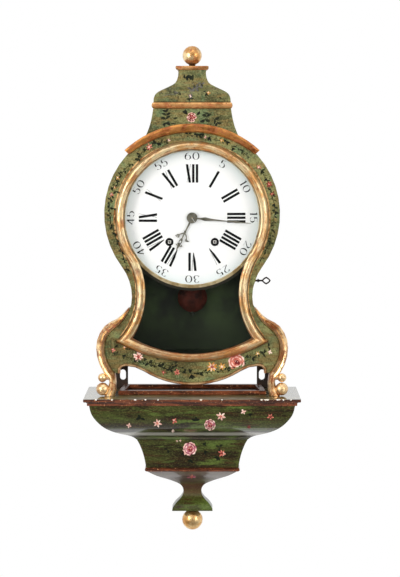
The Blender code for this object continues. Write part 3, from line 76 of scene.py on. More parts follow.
# Bracket. A band of paint is given by four heights: none, full, still full and none again
SHELF_TOP, SHELF_FRONT = 0.060, -0.190
LOCATING_HALF, LOCATING_FRONT = 0.1300, -0.1255
STRIP_HALF = 0.1500  # the shelf's front between the scrolled feet
LEDGE_Z = -0.0262  # where the upper body ends
# A pale painted highlight across the curve below the ledge, where the varnish mirrors the bright floor
PAINTED_HIGHLIGHT_BAND = LEDGE_Z + 0.0080, LEDGE_Z + 0.0115, LEDGE_Z + 0.0150, LEDGE_Z + 0.0200
NECK_BAND = -0.1520, -0.1380, -0.1240, -0.1100
# Painted reflection: pale grey-pink on the down-facing flare under the band, where the varnish mirrors the
# bright floor
FLARE_PAINTED_REFLECTION = -0.1280, -0.1060, -0.0895, -0.0885


def tint(red, green, blue):
    """A colour as seen on a screen, turned into light."""
    shares = (c / 255 for c in (red, green, blue))
    return tuple(((s + 0.055) / 1.055) ** 2.4 if s > 0.0404 else s / 12.92 for s in shares) + (1,)


class Value:
    """A shader value that sums and products can be written with."""

    def __init__(self, finish, socket):
        self.finish = finish
        self.socket = socket

    def maths(self, operation, first, second=0.0):
        return self.finish.node("ShaderNodeMath", {"operation": operation}, {0: first, 1: second})

    def __add__(self, other):
        return self.maths("ADD", self, other)

    def __sub__(self, other):
        return self.maths("SUBTRACT", self, other)

    def __rsub__(self, other):
        return self.maths("SUBTRACT", other, self)

    def __mul__(self, other):
        return self.maths("MULTIPLY", self, other)

    def __lt__(self, other):
        return self.maths("LESS_THAN", self, other)

    def __gt__(self, other):
        return self.maths("GREATER_THAN", self, other)

    def __abs__(self):
        return self.maths("ABSOLUTE", self)

    __radd__ = __add__
    __rmul__ = __mul__

    def root(self):
        return self.maths("SQRT", self)

    def most(self, other):
        """The larger of two values."""
        return self.maths("MAXIMUM", self, other)

    def rise(self, low, high):
        """0 below low, 1 above high and soft between them."""
        settings = {"interpolation_type": "SMOOTHSTEP"}
        sockets = {"Value": self, "From Min": low, "From Max": high}
        return self.finish.node("ShaderNodeMapRange", settings, sockets)

    def band(self, low, full, fade, high):
        """1 from full to fade, and softly down to 0 at low and at high."""
        return self.rise(low, full) * (1 - self.rise(fade, high))


class Shading:
    """A node tree and the way nodes are added to it."""

    def __init__(self, tree):
        self.tree = tree

    def link(self, socket, value):
        if isinstance(value, Value):
            self.tree.links.new(value.socket, socket)
        else:
            socket.default_value = value

    def node(self, kind, settings=None, sockets=None, out=0):
        made = self.tree.nodes.new(kind)
        for key, value in (settings or {}).items():
            setattr(made, key, value)
        for key, value in (sockets or {}).items():
            self.link(made.inputs[key], value)
        return Value(self, made.outputs[out])

    def ray(self, kind):
        """1 for rays of this kind."""
        return self.node("ShaderNodeLightPath", out=f"Is {kind} Ray")


class Finish(Shading):
    """A surface finish, with the nodes that make it."""

    def __init__(self, name, **sockets):
        self.material = bpy.data.materials.new(name)
        self.material.use_nodes = True
        super().__init__(self.material.node_tree)
        self.shader = self.tree.nodes["Principled BSDF"]
        self.set(**sockets)
        self.colour = None
        self.place = self.node("ShaderNodeTexCoord", out="Object")

    def set(self, **sockets):
        for key, value in sockets.items():
            self.link(self.shader.inputs[key.replace("_", " ")], value)

    def noise(self, scale, detail=3.0, rough=0.55, stretch=(1, 1, 1), shift=0.0):
        moved = {"Vector": self.place, "Scale": stretch, "Location": (shift,) * 3}
        return self.noise_at(self.node("ShaderNodeMapping", {}, moved), scale, detail, rough)

    def noise_at(self, spot, scale, detail, rough):
        sockets = {"Vector": spot, "Scale": scale, "Detail": detail, "Roughness": rough}
        return self.node("ShaderNodeTexNoise", {}, sockets)

    def cracks(self, scale, wide):
        """1 along a net of fine cracks."""
        sockets = {"Vector": self.place, "Scale": scale}
        edge = self.node("ShaderNodeTexVoronoi", {"feature": "DISTANCE_TO_EDGE"}, sockets)
        return 1 - edge.rise(0.0, wide)

    def mix(self, share, first, second):
        """A mix of two colours. Plain ones are given as seen on a screen."""
        first, second = [tint(*c) if isinstance(c, tuple) else c for c in (first, second)]
        return self.node("ShaderNodeMix", {"data_type": "RGBA"}, {0: share, 6: first, 7: second}, out=2)

    def over(self, share, paint):
        """Lays more paint over the colour so far."""
        self.colour = self.mix(share, self.colour, paint)

    def axis(self, which):
        return self.node("ShaderNodeSeparateXYZ", {}, {0: self.place}, out=which)

    def facing(self, which):
        """The way the surface faces, along one axis."""
        normal = self.node("ShaderNodeNewGeometry", out="True Normal")
        return self.node("ShaderNodeSeparateXYZ", {}, {0: normal}, out=which)

    def done(self, rough, relief, distance, strength):
        """Gives the shader the colour so far, its roughness and its relief, and hands over the material."""
        sockets = {"Height": relief, "Distance": distance, "Strength": strength}
        relief = self.node("ShaderNodeBump", {}, sockets)
        self.set(Base_Color=self.colour, Roughness=rough, Normal=relief)
        return self.material


def case_paint(name, inside=False, shift=0.0, painted_shade=0.0, margin=0.0):
    """Olive paint, mottled and rubbed, under old varnish. Inside the case it is nearly black.

    A margin beside the door frame can be gilt, and a painted shade can darken the whole, for the crown that
    the lamps light more.
    """
    f = Finish(name, Specular_IOR_Level=0.25, Coat_Weight=0.12, Coat_Roughness=0.2)
    cloud = f.noise(17, 5, 0.62, shift=shift)
    brush = f.noise(24, 5, 0.62, stretch=(1, 1, 6), shift=3)
    fine = f.noise(130, 3, 0.6, shift=7)
    f.colour = f.mix(cloud.rise(0.38, 0.60), (70, 70, 36), (132, 132, 82))
    f.over(brush.rise(0.47, 0.62) * 0.7, (142, 116, 64))
    f.over(f.noise(30, 4, shift=11).rise(0.52, 0.64) * 0.65, (98, 124, 84))
    f.over(fine.rise(0.54, 0.68) * 0.6, (46, 42, 18))
    grit = f.noise(330, 3, 0.65, shift=15)
    f.over(grit.rise(0.52, 0.62) * 0.6, (44, 42, 18))
    f.over(grit.rise(0.36, 0.46) * -0.55 + 0.55, (152, 148, 100))
    crack = f.cracks(75, 0.02)
    f.over(crack * 0.4, (34, 30, 12))
    x, z = f.axis(0), f.axis(2)
    up = z - ARCH_Z
    # Brown brush streaks towards the head's outer edge, darkened as painted shade where the edge rounds away
    # from the light
    rim = (x * x + up * up).rise(*[r**2 for r in HEAD_RIM]) * (up < HEAD_RIM_UP)
    f.over(rim * brush.rise(0.36, 0.56) * 0.45, (80, 64, 32))
    if inside:
        deep = f.mix(fine, (8, 12, 7), (22, 30, 18))
        f.over((f.facing(0) * x) < 0, deep)
    # Painted shade: darkens all of the paint, for the crown, whose tilted faces take more lamp light than the
    # case
    if painted_shade:
        f.over(painted_shade, (40, 44, 18))
    if margin:
        out = across_frame(f)
        past = out - margin * abs(x).rise(0.04, 0.11)
        within = 1 - past.rise(FRAME_OUTER - 0.0004, FRAME_OUTER + 0.0004)
        gilt = out.rise(FRAME_OUTER - 0.001, FRAME_OUTER) * within * (z > MARGIN_LOW)
        foil = f.noise(90, 4, 0.65, shift=19).rise(0.38, 0.60)
        f.over(gilt, f.mix(foil, (150, 92, 44), (240, 196, 134)))
        f.set(Metallic=0.6 * gilt)
    return f.done(0.38 + 0.25 * fine, brush * 0.6 + fine * 0.4 - crack * 0.3, 0.0006, 0.35)


def bracket_paint():
    """Dark green and brown brushed in level streaks, under glossy varnish."""
    f = Finish("bracket_green_paint", Specular_IOR_Level=0.15)
    f.set(Coat_Weight=0.5, Coat_Roughness=0.1, Coat_IOR=1.5)
    brush = f.noise(8, 5, 0.62, stretch=(1, 1, 6))
    streak = f.noise(26, 5, 0.65, stretch=(1, 1, 9), shift=4)
    fine = f.noise(150, 3, 0.6, shift=9)
    f.colour = f.mix(brush.rise(0.42, 0.60), (36, 26, 10), (64, 68, 27))
    f.over(streak.rise(0.50, 0.62) * 0.8, (62, 40, 18))
    # Painted light: the lighter green wash fades towards the ends, so the middle reads lit and the ends shaded
    middle = 1 - 0.75 * abs(f.axis(0)).rise(0.07, 0.18)
    wash = f.noise(16, 4, stretch=(1, 1, 5), shift=15).rise(0.50, 0.66)
    f.over(wash * middle * 0.8, (90, 110, 46))
    grit = f.noise(280, 3, 0.65, stretch=(1, 1, 2.5), shift=21)
    f.over(grit.rise(0.51, 0.62) * 0.5, (24, 20, 8))
    f.over((1 - grit.rise(0.36, 0.46)) * 0.3, (120, 126, 68))
    f.over(fine.rise(0.60, 0.75) * 0.4, (18, 16, 6))
    f.over(f.cracks(90, 0.02) * 0.25, (14, 10, 5))
    z = f.axis(2)
    # Painted highlight: a pale band below the ledge, where the down-facing curve mirrors the bright floor
    f.over(z.band(*PAINTED_HIGHLIGHT_BAND) * (0.65 + 0.6 * streak), (200, 196, 184))
    f.over(z.band(*NECK_BAND) * (0.2 + 0.6 * streak), (92, 62, 42))
    # Painted reflection of the bright floor on the down-facing flare under the band
    f.over(z.band(*FLARE_PAINTED_REFLECTION) * (0.2 + 0.7 * streak), (136, 116, 108))
    return f.done(0.3 + 0.14 * fine, streak * 0.6 + fine * 0.3, 0.0005, 0.25)


def red_brown(name, green_top):
    """Dark red-brown paint. The shelf's top is green and glossy."""
    f = Finish(name, Specular_IOR_Level=0.2, Coat_Roughness=0.05, Coat_IOR=4.0 if green_top else 1.5)
    streak = f.noise(24, 5, 0.65, stretch=(1, 1, 8))
    level = f.facing(2) > 0.7
    fine = f.noise(170, 3, 0.6, shift=6)
    f.colour = f.mix(streak.rise(0.38, 0.62), (56, 26, 13), (122, 64, 36))
    f.over(fine.rise(0.54, 0.68) * 0.7, (42, 20, 12))
    f.over(f.noise(300, 2, shift=2).rise(0.64, 0.70), (200, 142, 100))
    if green_top:
        cloud = f.noise(20, 4, stretch=(1, 3, 1)).rise(0.4, 0.6)
        f.over(level, f.mix(cloud, (84, 80, 46), (130, 124, 82)))
        side, y = abs(f.axis(0)), f.axis(1)
        framed = (side < LOCATING_HALF) * (y > LOCATING_FRONT) * level
        f.over(framed, f.mix(streak, (38, 26, 16), (74, 62, 40)))
        strip = (side < STRIP_HALF) * (y < LOCATING_FRONT)
        level = level * (1 - 0.7 * strip) - framed
    gloss = 0.88 if green_top else 0.1
    f.set(Coat_Weight=0.12 + gloss * level)
    return f.done(0.3 + 0.16 * fine, streak * 0.5 + fine * 0.4, 0.0004, 0.2)


def across_frame(f):
    """How far out a spot lies across the door's frame: the same along its edges all the way round."""
    side, z = abs(f.axis(0)), f.axis(2)
    up = z - DIAL_Z
    u, v = side - WAIST_X, z - WAIST_Z
    far, waist_far = (side * side + up * up).root(), (u * u + v * v).root()
    rail = z < RAIL_Z
    waist = (1 - rail) * ((up + WAIST_SLOPE * side) < 0)
    return far - rail * RAIL_DROP + waist * (WAIST_REACH - waist_far - far)


def across_arch(f):
    """How far out a spot lies across the arched moulding."""
    x, up = f.axis(0), f.axis(2) - ARCH_Z
    return (x * x + up * up).root()


def across_level(f):
    """How far up a spot lies across a level moulding."""
    return f.axis(2)


def gold(name, light, dark, worn, across=None, edges=None, foot=None, groove=None):
    """Leaf gold over red clay: thin where it is rubbed and brown where dirt stays.

    across gives lines along a moulding, edges darken both edges of the door frame with painted shadow lines
    and brown its rail, groove is the height above which a strip's groove shows, and foot how far up a ball is
    darkened with painted shade.
    """
    f = Finish(name)
    z = f.axis(2)
    leaf = f.noise(38, 5, 0.66)
    rub = f.noise(80, 5, 0.7, shift=4)
    dirt = f.noise(30, 5, 0.7, shift=8)
    fine = f.noise(330, 3, 0.6, shift=12)
    f.colour = f.mix(leaf.rise(0.36, 0.60), dark, light)
    bare = rub.rise(0.60 - 0.08 * worn, 0.70 - 0.08 * worn) * 0.9
    f.over(bare, (156, 88, 50))
    soil = dirt.rise(0.57, 0.70) * 0.7
    f.over(soil, (116, 72, 38))
    if across:
        out = across(f)
        spot = f.node("ShaderNodeCombineXYZ", {}, {0: out, 1: 0.12 * f.axis(0), 2: 0.12 * z})
        lines = f.noise_at(spot, 420, 4, 0.6)
        f.over((1 - lines.rise(0.36, 0.46)) * 0.7, light)
        rubbed = lines.rise(0.50, 0.60) * 0.75
        f.over(rubbed, (158, 88, 44))
        bare = bare.most(rubbed)
    if edges:
        inner, outer = edges
        # Painted shadow: dark lines along the door frame's inner and outer edges
        shade = (1 - out.rise(inner, inner + 0.0010)) + out.rise(outer - 0.0016, outer - 0.0004)
        f.over(shade * 0.85, (98, 54, 27))
        f.over((1 - z.rise(*RAIL_BROWN)) * (0.25 + 0.5 * rub), (150, 84, 40))
    if groove:
        line = (f.facing(1) < -0.955) * (z > groove) * (0.3 + 0.8 * rub)
        f.over(line, (146, 80, 46))
    if foot:
        # Painted shade: the ball darkens towards its foot, where it meets the part below
        f.over(0.85 - 0.85 * z.rise(foot, foot + 0.005), (66, 42, 24))
    f.over(fine.rise(0.64, 0.74) * 0.6, (84, 52, 26))
    f.set(Metallic=(1 - bare) * (1 - soil) * 0.85)
    relief = leaf * 0.5 + rub * 0.4 - bare * 0.3 + fine * 0.1
    return f.done(0.22 + 0.2 * leaf + 0.2 * bare, relief, 0.0008, 0.35)


def bare_wood(name, light, dark):
    """Old wood with upright grain and dark pores."""
    f = Finish(name)
    grain = f.noise(12, 5, 0.6, stretch=(6, 6, 0.6))
    pore = f.noise(60, 4, 0.6, stretch=(5, 5, 0.4), shift=3)
    f.colour = f.mix(grain.rise(0.35, 0.65), dark, light)
    f.over(pore.rise(0.58, 0.70) * 0.6, dark)
    return f.done(0.62 + 0.2 * pore, grain * 0.5 + pore * 0.5, 0.0005, 0.4)


def metal(name, light, dark, rough, shine=1.0):
    """A turned or filed metal with fine scratches and a little tarnish."""
    f = Finish(name, Metallic=shine)
    tarnish = f.noise(55, 4, 0.6)
    scratch = f.noise(200, 3, 0.6, stretch=(1, 1, 9), shift=5)
    f.colour = f.mix(tarnish.rise(0.38, 0.68), light, dark)
    f.over(scratch.rise(0.6, 0.7) * 0.5, dark)
    return f.done(rough + 0.15 * tarnish + 0.08 * scratch, scratch * 0.6 + tarnish * 0.4, 0.0002, 0.25)


def winding_square():
    """Dark steel with bright worn edges round the end that the winding key fits."""
    f = Finish("winding_square_steel")
    x, z = f.axis(0), f.axis(2) - (DIAL_Z - WINDING_DROP)
    out = abs(abs(x) - WINDING_X).most(abs(z))
    worn = (out > SQUARE_WORN) * (f.axis(1) < SQUARE_END)
    fine = f.noise(300, 3)
    f.colour = f.mix(fine, (18, 17, 17), (34, 33, 32))
    f.over(worn, f.mix(fine, (196, 194, 186), (240, 238, 232)))
    f.set(Metallic=0.3 - 0.2 * worn)
    return f.done(0.3 + 0.3 * fine, fine, 0.0002, 0.2)


def rim_brass():
    """The dial's brass rim, bright at its lip and painted dark on the flange behind it, as a painted shadow.
    """
    f = Finish("dial_rim_brass")
    x, z = f.axis(0), f.axis(2) - DIAL_Z
    # Painted shadow: the flange behind the lip is dark, as where the rim lies in the case's shade
    flange_shadow = (x * x + z * z).rise(*[r**2 for r in RIM_SHADOW_RADII])
    tarnish = f.noise(60, 4, 0.6)
    f.colour = f.mix(tarnish.rise(0.4, 0.66), (226, 206, 162), (178, 150, 102))
    f.over(flange_shadow, f.mix(f.noise(90, 3, shift=5), (16, 17, 9), (36, 31, 16)))
    f.set(Metallic=0.6 - 0.6 * flange_shadow)
    return f.done(0.3 + 0.2 * tarnish, tarnish, 0.0003, 0.3)


def dial_enamel():
    """White enamel, a little grey at the edge as a painted shade where the dome turns away, with hair cracks.
    """
    f = Finish("white_enamel", Coat_Weight=0.4, Coat_Roughness=0.05)
    x, z = f.axis(0), f.axis(2) - DIAL_Z
    far = (x * x + z * z) * (1 / DIAL_R**2)
    cloud = f.noise(9, 3)
    fine = f.noise(180, 3, shift=4)
    f.colour = f.mix(cloud.rise(0.4, 0.7), (251, 251, 249), (246, 247, 245))
    # Painted shade: pale grey-cyan towards the edge, where the dome turns away from the light
    f.over(far.rise(0.62, 1.0) * (0.5 + 0.5 * cloud), (226, 239, 239))
    hair = f.cracks(13, 0.006) * f.noise(6, 2, shift=9).rise(0.55, 0.62)
    f.over(hair * 0.3, (150, 146, 136))
    return f.done(0.10 + 0.08 * fine, cloud * 0.8 + fine * 0.2, 0.0003, 0.15)


def stroke_paint(name, light, dark, rough=0.45):
    """A brush stroke of oil colour."""
    f = Finish(name, Specular_IOR_Level=0.2, Coat_Weight=0.05, Coat_Roughness=0.2)
    wet = f.noise(420, 3, 0.6)
    body = f.noise(140, 3, 0.6, shift=6)
    f.colour = f.mix(body.rise(0.38, 0.64), dark, light)
    f.over(wet.rise(0.6, 0.7) * 0.4, dark)
    return f.done(rough + 0.15 * wet, wet, 0.0002, 0.3)


def window_glass():
    """Clear old glass with slow waves in it."""
    f = Finish("old_window_glass", Alpha=0.04)
    f.colour = 0.01, 0.014, 0.012, 1
    return f.done(0.02 + 0.04 * f.noise(60, 3, shift=2), f.noise(14, 2), 0.0010, 0.2)


def dark_lining():
    """Nearly black green inside the case, bare wood on the side that hangs against the wall."""
    f = Finish("dark_lining_paint", Coat_Weight=0.15, Coat_Roughness=0.3)
    cloud = f.noise(10, 4, 0.6, stretch=(1, 1, 0.8), shift=2)
    grain = f.noise(14, 5, 0.6, stretch=(6, 6, 0.6))
    fine = f.noise(140, 3, shift=4)
    f.colour = f.mix(cloud.rise(0.38, 0.66), (14, 20, 9), (52, 68, 32))
    f.over(fine.rise(0.6, 0.7) * 0.5, (8, 10, 5))
    # Painted shade: darker towards the bottom of the case's inside
    f.over((1 - f.axis(2).rise(*LINING_SHADE_HEIGHTS)) * 0.6, (10, 14, 7))
    wood = f.mix(grain.rise(0.35, 0.65), (58, 40, 25), (98, 72, 46))
    f.over(f.facing(1) > 0.5, wood)
    return f.done(0.42 + 0.2 * fine, grain * 0.5 + fine * 0.5, 0.0004, 0.3)


def pale_floor():
    """Plain white to the camera, and dimmer in the polish the further to the front it lies."""
    f = Finish("pale_floor", Roughness=0.8)
    f.set(Base_Color=f.mix(f.noise(5, 3), (236, 236, 236), (228, 228, 228)))
    back = FLOOR_DIM + (1 - FLOOR_DIM) * f.axis(1).rise(*FLOOR_BRIGHT)
    seen, glossy = f.ray("Camera") + f.ray("Transmission"), f.ray("Glossy")
    white = f.node("ShaderNodeEmission", {}, {"Strength": seen + glossy * back})
    shown = Value(f, f.shader.outputs[0])
    either = f.node("ShaderNodeMixShader", {}, {0: seen + glossy, 1: shown, 2: white})
    f.link(f.tree.nodes["Material Output"].inputs["Surface"], either)
    return f.material


OLIVE = case_paint("case_green_paint", margin=GILT_MARGIN)
OLIVE_SIDE = case_paint("case_side_paint", inside=True)
# The crown's copy of the case paint is darkened with painted shade against the lamp light on its tilted faces
OLIVE_CROWN = case_paint("crown_green_paint", shift=0.35, painted_shade=0.14)
BRACKET = bracket_paint()
SHELF = red_brown("shelf_paint", True)
MAROON = red_brown("red_brown_paint", False)
GILT = gold("gilding", (255, 228, 174), (212, 154, 90), 0.3, foot=FINIAL_FOOT)
FRAME_EDGES = FRAME_INNER, FRAME_OUTER
GILT_FRAME = gold("door_gilding", (255, 232, 182), (232, 174, 104), 0.1, across_frame, FRAME_EDGES)
GILT_WARM = gold("copper_gilding", (224, 154, 82), (150, 84, 40), 0.7, across_arch)
GILT_MID = gold("brown_gilding", (236, 182, 118), (172, 108, 58), 0.7, across_level)
GILT_WORN = gold("worn_gilding", (250, 216, 164), (174, 116, 66), 0.7, groove=GROOVE_LOW)
GILT_APRON = gold("apron_gilding", (250, 210, 160), (196, 132, 84), 0.5)
GILT_BRIGHT = gold("burnished_gilding", (252, 222, 164), (206, 150, 84), 0.2)
WOOD = bare_wood("old_pine", (92, 66, 42), (52, 34, 20))
WOOD_DARK = bare_wood("dark_stained_wood", (54, 36, 24), (26, 17, 12))
LINING = dark_lining()
BRASS = metal("yellow_brass", (198, 164, 92), (146, 110, 52), 0.28)
HAND = metal("dull_hand_brass", (134, 131, 116), (88, 86, 72), 0.4, 0.7)
STEEL = metal("grey_steel", (150, 152, 156), (92, 92, 94), 0.30)
BLUED = metal("dark_steel", (66, 70, 58), (36, 40, 32), 0.4, 0.6)
IRON = metal("dark_iron", (70, 62, 58), (36, 30, 28), 0.42)
BELL = metal("bell_bronze", (186, 166, 116), (128, 108, 66), 0.25)
BOB = metal("dark_copper", (98, 45, 33), (46, 21, 15), 0.42, 0.6)
SQUARE = winding_square()
# Near-white steel for the taper pin, much lighter than the other steel: a painted highlight for the glint on
# the hub
PIN_HIGHLIGHT_STEEL = metal("pin_steel_with_painted_highlight", (226, 226, 216), (168, 168, 158), 0.4, 0.4)
RIM = rim_brass()
ENAMEL = dial_enamel()
BLACK = stroke_paint("black_enamel", (22, 21, 22), (8, 8, 9), 0.25)
GLASS = window_glass()
LEAF_DARK = stroke_paint("dark_leaf_colour", (36, 40, 19), (17, 20, 9))
LEAF_DEEP = stroke_paint("deep_leaf_colour", (20, 28, 11), (10, 14, 6))
LEAF_MID = stroke_paint("olive_leaf_colour", (92, 90, 46), (58, 60, 28))
LEAF_GREY = stroke_paint("grey_stem_colour", (108, 104, 98), (66, 64, 58))
PINK = stroke_paint("pink_petal_colour", (216, 134, 112), (180, 86, 74))
PALE = stroke_paint("pale_petal_colour", (240, 214, 198), (220, 168, 152))
MAUVE = stroke_paint("mauve_petal_colour", (190, 112, 126), (138, 62, 84))
RED = stroke_paint("dark_red_petal_colour", (150, 52, 50), (92, 26, 28))
YELLOW = stroke_paint("yellow_petal_colour", (222, 176, 92), (190, 126, 58))
GESSO = stroke_paint("bare_gesso", (252, 248, 240), (232, 222, 204), 0.6)

DRESS = {
    OLIVE: ("case_front_board", "hinge_pin_upper", "hinge_pin_lower")
    + ("door_hinge_eye_upper", "door_hinge_eye_lower"),
    OLIVE_CROWN: ("pediment_base", "pediment_top"),
    OLIVE_SIDE: ("case_left_side", "case_right_side"),
    BRACKET: ("bracket_upper_body", "bracket_lower_body", "bracket_pendant"),
    SHELF: ("bracket_shelf",),
    MAROON: ("bracket_locating_frame", "bracket_band"),
    GILT: ("finial_ball",),
    GILT_FRAME: ("door_frame",),
    GILT_WORN: ("left_scroll_foot", "right_scroll_foot"),
    GILT_WARM: ("arch_moulding",),
    GILT_MID: ("pediment_band", "pediment_cap"),
    GILT_APRON: ("apron_moulding",),
    GILT_BRIGHT: ("bracket_ball",),
    WOOD: ("bracket_back_board", "movement_seat"),
    WOOD_DARK: ("left_rear_foot", "right_rear_foot"),
    LINING: ("case_back_board", "case_floor"),
    HAND: ("hour_hand", "minute_hand", "hand_collet"),
    STEEL: ("lock_bolt", "anchor_and_crutch", "cannon_pinion", "hammer"),
    SQUARE: ("going_winding_arbor", "strike_winding_arbor"),
    BLUED: ("pendulum_rod",),
    IRON: ("door_key",),
    BELL: ("bell",),
    BOB: ("pendulum_bob",),
    ENAMEL: ("dial",),
    GLASS: ("door_glass",),
    RIM: ("dial_rim",),
    BRASS: ("door_catch", "lock_case", "key_escutcheon", "front_plate", "back_plate")
    + ("going_barrel", "strike_barrel", "suspension_cock", "minute_wheel", "hour_wheel")
    + ("intermediate_wheel", "centre_wheel", "third_wheel", "escape_wheel"),
}
MOULDED = ("bracket_upper_body", "bracket_lower_body", "bracket_pendant")
MOULDED += ("pediment_base", "pediment_top", "pediment_cap")
ROUNDED = {  # by the width of the rounding, with 0 for a shape that is round already
    0.0008: ("bracket_locating_frame", "arch_moulding"),
    0.0006: MOULDED
    + ("bracket_shelf", "bracket_band", "left_scroll_foot", "right_scroll_foot", "door_frame")
    + ("pediment_band", "left_rear_foot", "right_rear_foot"),
    0.0005: ("apron_moulding",),
    0.0004: ("case_left_side", "case_right_side", "pendulum_bob"),
    0.0003: ("case_front_board", "dial_rim"),
    0.0002: ("hour_hand", "minute_hand", "hand_collet", "door_key"),
    0.0: ("finial_ball", "bracket_ball", "dial"),
}


CREASE, MOULDED_CREASE = 32, 52  # edges sharper than this are rounded, in degrees
WELD_REACH = 0.00001


def soften(part, edge, crease):
    """Joins the part's faces, rounds its edges and shades it smoothly."""
    if "custom_normal" in part.data.attributes:
        part.data.attributes.remove(part.data.attributes["custom_normal"])
    part.data.shade_smooth()
    weld = part.modifiers.new("joined", "WELD")
    weld.merge_threshold = WELD_REACH
    if edge:
        bevel = part.modifiers.new("rounded", "BEVEL")
        bevel.width = edge
        bevel.segments = 2
        bevel.limit_method = "ANGLE"
        bevel.angle_limit = radians(crease)
        bevel.use_clamp_overlap = True
    even = part.modifiers.new("even_shading", "WEIGHTED_NORMAL")
    even.weight = 60
    even.keep_sharp = True


for material, names in DRESS.items():
    for name in names:
        data = nodes[name].data
        data.materials.clear()
        data.materials.append(material)
for edge, names in ROUNDED.items():
    for name in names:
        soften(nodes[name], edge, MOULDED_CREASE if name in MOULDED else CREASE)


def piece(name, mesh, material, body):
    """A new piece that rides on a body."""
    data = bpy.data.meshes.new(name)
    bmesh.ops.recalc_face_normals(mesh, faces=mesh.faces[:])
    mesh.to_mesh(data)
    mesh.free()
    data.materials.append(material)
    made = bpy.data.objects.new(name, data)
    scene.collection.objects.link(made)
    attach(made, body)
    return made


def ring_faces(mesh, rings, closed=False):
    """Joins rings of points into a skin and closes its ends, or joins the last ring to the first."""
    verts = [[mesh.verts.new(p) for p in ring] for ring in rings]
    pairs = list(zip(verts, verts[1:]))
    if closed:
        pairs.append((verts[-1], verts[0]))
    else:
        mesh.faces.new(verts[0])
        mesh.faces.new(verts[-1])
    for first, second in pairs:
        for k in range(len(first)):
            n = (k + 1) % len(first)
            mesh.faces.new((first[k], first[n], second[n], second[k]))


def slab(mesh, front, back):
    """A thin plate between two matching outlines."""
    ring_faces(mesh, [front, back])


# Painting: strokes are drawn in the picture's pixels and laid on the surface that is seen there
PAINT_LIFT, LAYER_LIFT, PAINT_SINK = 0.00012, 0.00006, 0.00008
PAINT_SEED, CHIP_SEED = 11, 5


def sight(x, y):
    """Direction from the eye through a point of the picture."""
    forward = Vector((0, cos(TILT), -sin(TILT)))
    up = Vector((0, sin(TILT), cos(TILT)))
    right = Vector((1, 0, 0))
    way = forward + right * ((x - WIDE / 2) / FOCUS) + up * ((HIGH / 2 - y) / FOCUS)
    return way.normalized()


class Ground:
    """The surfaces that carry the painting."""

    def __init__(self, *names):
        points, faces = [], []
        for name in names:
            start = len(points)
            data = nodes[name].data
            points += [v.co.copy() for v in data.vertices]
            faces += [[start + v for v in face.vertices] for face in data.polygons]
        self.tree = BVHTree.FromPolygons(points, faces)

    def look(self, x, y):
        """Where a look at a point starts, and its direction."""
        return EYE, sight(x, y)

    def spot(self, x, y):
        """The place that is seen there and the way it faces."""
        place, normal, _, _ = self.tree.ray_cast(*self.look(x, y))
        return (place, normal) if place else None


def stroke(mesh, ground, outline, layer=0):
    """Lays one thick stroke of paint on the ground."""
    spots = [ground.spot(x, y) for x, y in outline]
    if None in spots:
        return
    lift = PAINT_LIFT + LAYER_LIFT * layer
    slab(mesh, [p + n * lift for p, n in spots], [p - n * PAINT_SINK for p, n in spots])


def leaf(x, y, long, wide, turn, bend=0.0):
    """A pointed leaf in the picture's pixels."""
    line = []
    for share in (0.0, 0.2, 0.5, 0.8, 1.0):
        half = wide / 2 * (sin(pi * share) ** 0.8 if 0 < share < 1 else 0.08)
        line.append((long * (share - 0.5), bend * sin(pi * share), half))
    edge = [(u, v - h) for u, v, h in line] + [(u, v + h) for u, v, h in reversed(line)]
    c, s = cos(radians(turn)), sin(radians(turn))
    return [(x + u * c - v * s, y + u * s + v * c) for u, v in edge]


def blot(x, y, size, draw, points=9):
    """A round dab with an uneven edge."""
    out = []
    for k in range(points):
        r = size * draw.uniform(0.8, 1.15)
        a = 2 * pi * k / points
        out.append((x + r * cos(a), y + r * sin(a)))
    return out


